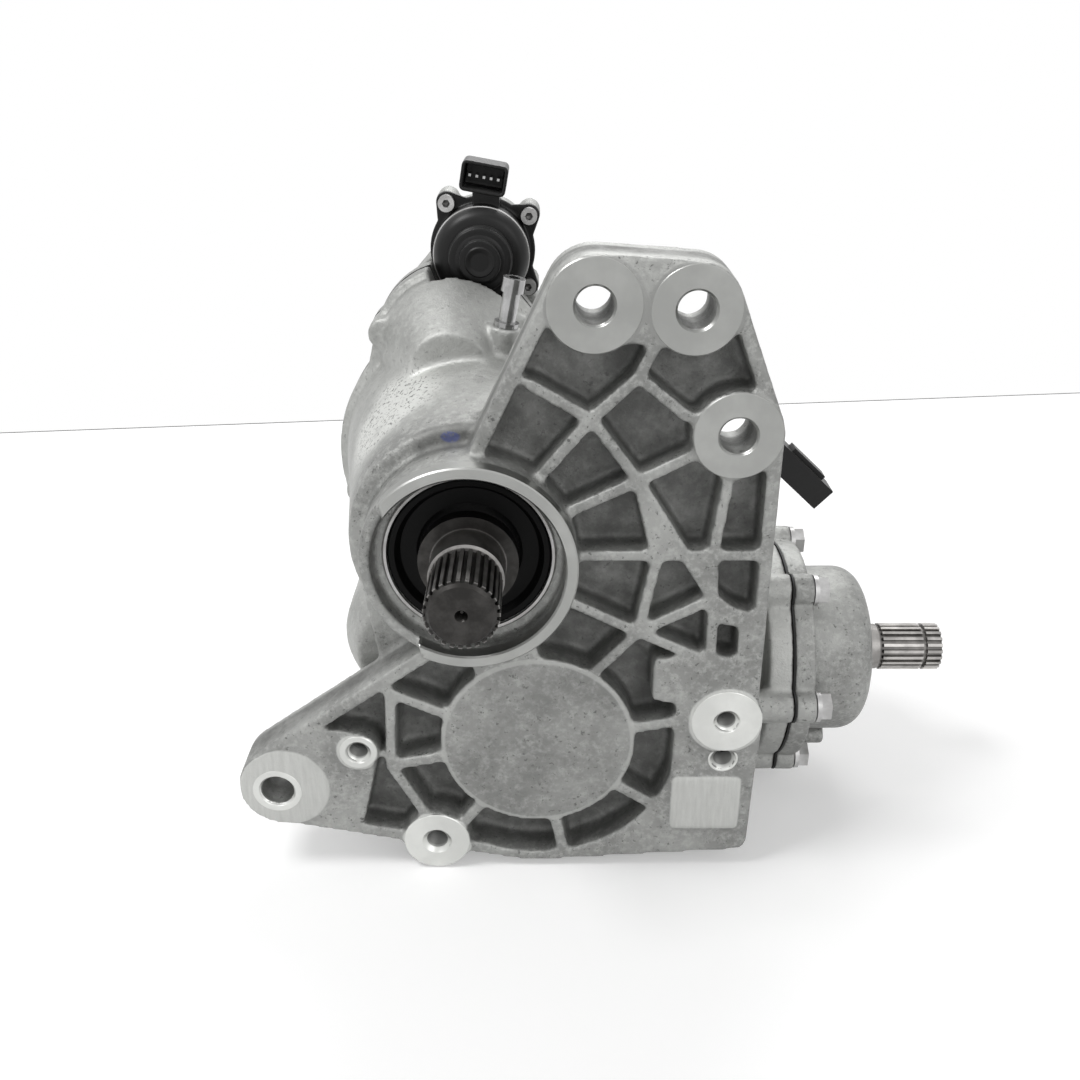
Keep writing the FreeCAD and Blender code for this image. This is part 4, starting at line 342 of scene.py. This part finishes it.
# Plastic and rubber, dusty; a painted sheen, broken up by the dust pattern, lies on what faces up
def mouldedFinish(name, bright, roughness, specular=0.3):
    look = mouldedLook
    plastic = Finish(name, metallic=0.0, ior=1.5, specular_ior_level=specular)
    dustAndSheen = plastic.noise(look["dustAndSheen"], 5.0, 0.65)
    grain = plastic.noise(look["grain"], 2.0, 0.5)
    colour = plastic.mix(plastic.smooth(dustAndSheen, *look["dustFade"]) * 0.5, grey(bright),
                         grey(bright * 2.6, 0.02))
    normal = plastic.node("NewGeometry", {}, {}, "Normal")
    upward = plastic.smooth(plastic.node("SeparateXYZ", {}, {"Vector": normal}, "Z"), *look["upward"])
    # painted sheen on faces that point up
    plastic.set(base_color=plastic.mix(upward * dustAndSheen * 0.9, colour, grey(bright * 6 + 0.04)))
    plastic.set(roughness=roughness + dustAndSheen * 0.12)
    plastic.bump(grain, 0.3, 0.05 * mm)
    return plastic.material


finishes = {
    "cast": castFinish("castAluminium", 0.37, isFront=True),
    "castClean": castFinish("castAluminiumClean", 0.36),
    "machined": machinedFinish("machinedAluminium", 0.40),
    # a brighter copy of machined aluminium, for the lower faces; the top bosses take the darker one
    "machinedBright": machinedFinish("brighterMachinedAluminium", 0.72),
    "steel": steelFinish("groundSteel", 0.46, 0.02, 0.26),
    # oiled steel for the bolts, also used as painted shade in the screw sockets
    "darkSteel": steelFinish("oiledSteelAndSocketShade", 0.13, 0.02, 0.30),
    "frontSpline": splineFinish("oiledSpline", 0.045, 0.26, centre=(0, 0, 0),
                                squeeze=(1.0, 0.0, 1.0), reach=(14.1, 14.7)),
    "pinionSpline": splineFinish("drySpline", 0.16, 0.50, centre=(0, 85.6, -93.3),
                                 squeeze=(0.0, 1.0, 1.0), reach=(11.2, 11.9)),
    "zinc": steelFinish("zincPlate", 0.55, 0.01, 0.30),
    "bearing": steelFinish("bearingSteel", 0.58, 0.01, 0.2),
    "plated": steelFinish("brightPlate", 0.50, 0.0, 0.12),
    "rubber": mouldedFinish("sealRubber", 0.0015, 0.42, specular=0.12),
    "gasket": mouldedFinish("blackSealant", 0.016, 0.55),
    "plastic": mouldedFinish("blackPlastic", 0.005, 0.34),
}

nodeFinishes = {
    "castClean": ["rear_cover", "clutch_housing", "pinion_cover", "diff_case"],
    "cast": ["main_housing"],
    "gasket": ["rear_gasket", "pinion_gasket"],
    "rubber": ["front_axle_seal", "rear_axle_seal", "pinion_seal"],
    "zinc": ["rear_bolts", "pinion_cover_bolts", "actuator_screws", "oil_plugs", "connector_bracket"],
    "frontSpline": ["front_stub_shaft"],
    "darkSteel": ["ring_gear_bolts", "bevel_ring_bolts"],
    "pinionSpline": ["pinion_shaft"],
    "plated": ["breather_pipe", "connector_pins"],
    "plastic": ["wiring_connector", "actuator_body"],
}
finishOf = {member: finish for finish, members in nodeFinishes.items() for member in members}
for name, node in nodes.items():
    usual = "bearing" if ("race" in name or "rollers" in name) else "steel"
    node.data.materials.clear()
    node.data.materials.append(finishes[finishOf.get(name, usual)])
print("finishes made:", len(finishes))


# Mesh helpers

def newPiece(name, bm, finish, body):
    mesh = bpy.data.meshes.new(name)
    bm.to_mesh(mesh)
    bm.free()
    piece = bpy.data.objects.new(name, mesh)
    scene.collection.objects.link(piece)
    mesh.materials.append(finishes[finish])
    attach(piece, body)
    return piece


# A closed profile of (radius, along) points in mm, spun about an axis through centre (mm).
def spunRing(name, profile, centre, axis, finish, body, steps=72, smoothBelow=35):
    bm = bmesh.new()
    verts = [bm.verts.new((radius * mm, 0, along * mm)) for radius, along in profile]
    edges = [bm.edges.new((verts[k], verts[(k + 1) % len(verts)])) for k in range(len(verts))]
    bmesh.ops.spin(bm, geom=verts + edges, cent=(0, 0, 0), axis=(0, 0, 1), angle=2 * math.pi,
                   steps=steps, use_merge=True)
    bmesh.ops.remove_doubles(bm, verts=bm.verts[:], dist=0.002 * mm)
    bmesh.ops.recalc_face_normals(bm, faces=bm.faces[:])
    turn = Vector((0, 0, 1)).rotation_difference(Vector(axis)).to_matrix().to_4x4()
    bm.transform(Matrix.Translation(Vector(centre) * mm) @ turn)
    piece = newPiece(name, bm, finish, body)
    shadeByAngle(piece, smoothBelow)
    return piece


def shadeByAngle(piece, degrees):
    bm = bmesh.new()
    bm.from_mesh(piece.data)
    for face in bm.faces:
        face.smooth = True
    for edge in bm.edges:
        if len(edge.link_faces) == 2 and edge.calc_face_angle(0.0) > math.radians(degrees):
            edge.smooth = False
    bm.to_mesh(piece.data)
    bm.free()


skinLook = dict(mergeWithin=0.005, softness=0.5, waverSize=9.0)


# A CAD solid's copy, remeshed and softened so that its edges look cast; lengths in mm
def castSkin(name, node, finish, voxel, rounds, triangles, slot="cast_aluminium", unevenness=0.25):
    bm = bmesh.new()
    bm.from_mesh(nodes[node].data)
    bmesh.ops.remove_doubles(bm, verts=bm.verts[:], dist=skinLook["mergeWithin"] * mm)
    skin = newPiece(name, bm, finish, nodes[node]["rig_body"])
    remesh = skin.modifiers.new("remesh", "REMESH")
    remesh.mode = "VOXEL"
    remesh.voxel_size = voxel * mm
    soften = skin.modifiers.new("soften", "SMOOTH")
    soften.factor = skinLook["softness"]
    soften.iterations = rounds
    clouds = bpy.data.textures.new(name + "Clouds", "CLOUDS")
    clouds.noise_scale = skinLook["waverSize"] * mm
    waver = skin.modifiers.new("waver", "DISPLACE")
    waver.texture = clouds
    waver.texture_coords = "LOCAL"
    waver.strength = unevenness * mm
    waver.mid_level = 0.5
    applied = bakeModifiers(skin)
    count = sum(len(face.vertices) - 2 for face in applied.polygons)
    if count > triangles:
        thin = skin.modifiers.new("thin", "DECIMATE")
        thin.ratio = triangles / count
        applied = bakeModifiers(skin)
    for face in applied.polygons:
        face.use_smooth = True
    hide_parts(node)
    print("cast skin", name, "triangles", count, "kept", len(applied.polygons))


def bakeModifiers(piece):
    bpy.context.view_layer.update()
    evaluated = piece.evaluated_get(bpy.context.evaluated_depsgraph_get())
    mesh = bpy.data.meshes.new_from_object(evaluated)
    piece.modifiers.clear()
    old = piece.data
    piece.data = mesh
    bpy.data.meshes.remove(old)
    return mesh


# Castings and the moulded shell of the actuator

castings = {
    "mainHousing": dict(node="main_housing", finish="cast", voxel=1.35, rounds=6, triangles=190000),
    "rearCover": dict(node="rear_cover", finish="castClean", voxel=1.3, rounds=5, triangles=90000),
    "clutchHousing": dict(node="clutch_housing", finish="castClean", voxel=1.2, rounds=5, triangles=80000),
    "pinionCover": dict(node="pinion_cover", finish="castClean", voxel=1.0, rounds=5, triangles=80000),
    "actuatorShell": dict(node="actuator_body", finish="plastic", slot="black_plastic", voxel=0.55,
                          rounds=3, triangles=70000, unevenness=0.0),
}
for name, made in castings.items():
    castSkin(name, **made)
print("castings and actuator shell softened")


# Machined faces, each a thin ring that stands just proud of the casting; lengths in mm

facing = dict(proud=0.12, chamfer=0.9, rounding=0.4, drop=0.25, sunk=1.2, wall=2.0, grooveDepth=0.62)


# at is (x, z, the face's y); pitch is a thread's, whose grooves are rings, and 0 for a plain bore
def facedRing(name, at, outer, bore, depth, pitch=0.0, finish="machinedBright"):
    x, z, faceY = at
    front = faceY - facing["proud"]
    mouth = faceY + facing["chamfer"]
    sunk = faceY + facing["sunk"]
    wall = [(bore, mouth), (bore, faceY + depth)]
    if pitch:
        turns = int((depth - facing["chamfer"]) / pitch)
        wall = [(bore - facing["grooveDepth"] * pitch * (step % 2), mouth + pitch * step / 2)
                for step in range(2 * turns + 1)]
    profile = wall[::-1] + [
        (bore + facing["chamfer"], front), (outer - facing["rounding"], front),
        (outer, faceY + facing["drop"]), (outer, sunk), (bore + facing["wall"], sunk),
        (bore + facing["wall"], wall[-1][1])]
    spunRing(name, [(r, -y) for r, y in profile], (x, 0, z), (0, -1, 0), finish, "housing")


faces = {
    "faceTopLeft": dict(at=(49.8, 104.8, 0), outer=18.4, bore=7.35, depth=20, finish="machined"),
    "faceTopRight": dict(at=(88.0, 103.1, 0), outer=17.4, bore=7.35, depth=20, finish="machined"),
    "faceSide": dict(at=(107.3, 53.4, 0), outer=17.9, bore=7.35, depth=20, finish="machined"),
    "faceEar": dict(at=(-91.5, -119.3, 0), outer=11.5, bore=7.55, depth=20),
    "faceSmall": dict(at=(-52.8, -97.7, 0), outer=8.7, bore=5.0, depth=11, pitch=1.25),
    "faceFoot": dict(at=(-19.1, -148.7, 0), outer=15.4, bore=6.0, depth=18, pitch=1.75),
    "faceSideTapped": dict(at=(112.5, -81.0, 0), outer=15.8, bore=5.1, depth=18, pitch=1.5),
    "faceLower": dict(at=(112.5, -102.2, 1.2), outer=7.0, bore=5.1, depth=12, pitch=1.5),
}
for name, made in faces.items():
    facedRing(name, **made)

# front and back are heights towards the viewer, brokenAt is the (x, z) of the break
register = dict(bore=40.0, outer=45.0, front=12.0, back=5.0, wall=1.6, brokenAt=(-33.0, 25.0), slant=0.2)


# The turned lip of the front register; its left end is broken away, as on the casting
def turnedLip(bore, outer, front, back, wall, brokenAt, slant):
    lip = spunRing("registerLip", [
        (bore - 0.1, back), (bore - 0.1, front - 0.7), (bore + 0.6, front + facing["proud"]),
        (outer - 0.5, front + facing["proud"]), (outer + 0.1, front - 0.5), (outer + 0.1, back),
        (outer - wall, back), (outer - wall, front - 1.4), (bore + wall, front - 1.4), (bore + wall, back)],
        (0, 0, 0), (0, -1, 0), "machined", "housing", steps=120)
    bm = bmesh.new()
    bm.from_mesh(lip.data)
    bmesh.ops.bisect_plane(bm, geom=bm.verts[:] + bm.edges[:] + bm.faces[:],
                           plane_co=(brokenAt[0] * mm, 0, brokenAt[1] * mm), plane_no=(-1, 0, -slant),
                           clear_outer=True)
    bmesh.ops.holes_fill(bm, edges=[edge for edge in bm.edges if edge.is_boundary])
    bmesh.ops.recalc_face_normals(bm, faces=bm.faces[:])
    bm.to_mesh(lip.data)
    bm.free()


turnedLip(**register)
print("machined faces laid:", len(faces) + 1)


# The front seal and its seat ring, and the turned steps and bright rim of the actuator's cap

axleCentre = (0, 0, 0)
actuatorCentre = (1, 0, 98)
turned = {
    "frontSeal": dict(centre=axleCentre, finish="rubber", slot="seal_rubber", profile=[
        (16.06, 8.4), (16.06, 5.6), (17.4, 4.2), (19.2, 3.7), (20.8, 4.6), (22.2, 6.6), (29.0, 6.9),
        (30.2, 5.4), (31.2, 3.4), (33.4, 3.1), (34.0, 3.6), (34.0, 11.0), (20.0, 11.0), (18.4, 9.4)]),
    "sealSeatRing": dict(centre=axleCentre, finish="steel", slot="ground_steel", profile=[
        (34.3, 3.1), (34.5, 2.3), (35.6, 2.0), (36.2, 2.5), (36.3, 3.1)]),
    "actuatorCap": dict(centre=actuatorCentre, finish="plastic", slot="black_plastic", profile=[
        (0, 116.3), (4.0, 116.2), (5.4, 115.4), (6.6, 115.3), (7.2, 116.0), (7.3, 117.3),
        (9.2, 117.6), (9.8, 118.2), (9.9, 119.5), (11.6, 119.8), (12.3, 120.4), (12.4, 121.6),
        (14.6, 121.9), (15.4, 122.6), (15.6, 125.8), (18.2, 126.0), (20.4, 127.2), (22.3, 129.8),
        (22.9, 131.4), (22.9, 133.0), (0, 133.0)]),
    "actuatorRim": dict(centre=actuatorCentre, finish="zinc", slot="zinc_steel", profile=[
        (22.9, 131.6), (23.35, 131.7), (23.45, 132.3), (23.3, 132.9), (22.9, 133.0)]),
}
for name, made in turned.items():
    spunRing(name, made["profile"], made["centre"], (0, 1, 0), made["finish"], "housing",
             steps=96)
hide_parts("front_axle_seal")

# Dark sockets in the heads of the actuator's screws; their dark steel is painted shade
screwSockets = dict(circle=28.5, angles=(127, 36, 322), profile=[
    (0, 145.2), (1.0, 144.9), (1.6, 144.4), (1.6, 145.5), (0, 145.5)])
for count, degrees in enumerate(screwSockets["angles"]):
    angle = math.radians(degrees)
    screwCentre = (actuatorCentre[0] + screwSockets["circle"] * math.cos(angle), 0,
                   actuatorCentre[2] + screwSockets["circle"] * math.sin(angle))
    spunRing("screwSocket%d" % count, screwSockets["profile"], screwCentre, (0, 1, 0), "darkSteel",
             "housing", steps=24)
print("seals, actuator cap and screw sockets turned")


# Floor, light and camera, in metres

stage = dict(
    floorSize=(4.4, 3.2), floorColour=0.80, floorGlow=0.30, seamSize=(2.6, 0.0016), seamColour=0.05,
    seamAt=(0.058, 0.672), seamTurn=0.1138, seamLift=0.3 * mm, worldStrength=0.42,
    lampTarget=(0.03, 0.05, 0.0))
lamps = {
    "keyLamp": dict(at=(-0.75, -0.25, 1.3), size=0.5, watts=12),
    "fillLamp": dict(at=(1.1, -1.3, 0.9), size=1.2, watts=6),
    "rearLamp": dict(at=(0.2, 1.3, 1.2), size=0.8, watts=10),
}
eye = dict(at=(0.0294, -0.400, 0.1995), tilt=64.5, lens=36.1, sensor=36.0, nearest=0.01)


# 1 for rays from the camera, from a mirror-like surface or through glass
def seenRays(tree):
    camera, glossy, through = (addNode(tree, "LightPath", {}, {}, ray) for ray in (
        "Is Camera Ray", "Is Glossy Ray", "Is Transmission Ray"))
    return camera + glossy + through


# A flat sheet; glow lifts its colour towards white for the rays that are seen
def stagePlane(name, size, centre, turn, colour, glow):
    bm = bmesh.new()
    bmesh.ops.create_grid(bm, x_segments=1, y_segments=1, size=0.5)
    bm.transform(Matrix.Translation(centre) @ Matrix.Rotation(turn, 4, "Z")
                 @ Matrix.Diagonal((size[0], size[1], 1, 1)))
    mesh = bpy.data.meshes.new(name)
    bm.to_mesh(mesh)
    bm.free()
    plane = bpy.data.objects.new(name, mesh)
    scene.collection.objects.link(plane)
    sheet = Finish(name, base_color=grey(colour), roughness=0.7, specular_ior_level=0.1,
                   emission_color=grey(1.0))
    sheet.set(emission_strength=seenRays(sheet.tree) * glow)
    mesh.materials.append(sheet.material)


def stageWorld(strength):
    world = bpy.data.worlds.new("studio")
    scene.world = world
    world.use_nodes = True
    tree = world.node_tree
    back = tree.nodes["Background"]
    join(tree, grey(1.0), back.inputs["Color"])
    join(tree, seenRays(tree) * (1.0 - strength) + strength, back.inputs["Strength"])


def stageLamp(name, at, size, watts):
    data = bpy.data.lights.new(name, "AREA")
    data.energy = watts
    data.size = size
    lamp = bpy.data.objects.new(name, data)
    lamp.location = at
    towards = Vector(stage["lampTarget"]) - Vector(at)
    lamp.rotation_euler = towards.to_track_quat("-Z", "Y").to_euler()
    scene.collection.objects.link(lamp)


# The floor ends at the seam, which is where the backdrop starts
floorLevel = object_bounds()[0][2]
seamX, seamY = stage["seamAt"]
seamTurn = stage["seamTurn"]
halfFloor = stage["floorSize"][1] / 2
stagePlane("floor", stage["floorSize"],
           (seamX + halfFloor * math.sin(seamTurn), seamY - halfFloor * math.cos(seamTurn), floorLevel),
           seamTurn, stage["floorColour"], stage["floorGlow"])
stagePlane("floorSeam", stage["seamSize"], (seamX, seamY, floorLevel + stage["seamLift"]),
           seamTurn, stage["seamColour"], 0.0)
stageWorld(stage["worldStrength"])
for name, made in lamps.items():
    stageLamp(name, **made)

cameraData = bpy.data.cameras.new("camera")
cameraData.lens = eye["lens"]
cameraData.sensor_width = eye["sensor"]
cameraData.clip_start = eye["nearest"]
camera = bpy.data.objects.new("camera", cameraData)
camera.location = eye["at"]
camera.rotation_euler = (math.radians(eye["tilt"]), 0, 0)
scene.collection.objects.link(camera)
scene.camera = camera
scene.view_settings.view_transform = "Standard"
print("stage set")
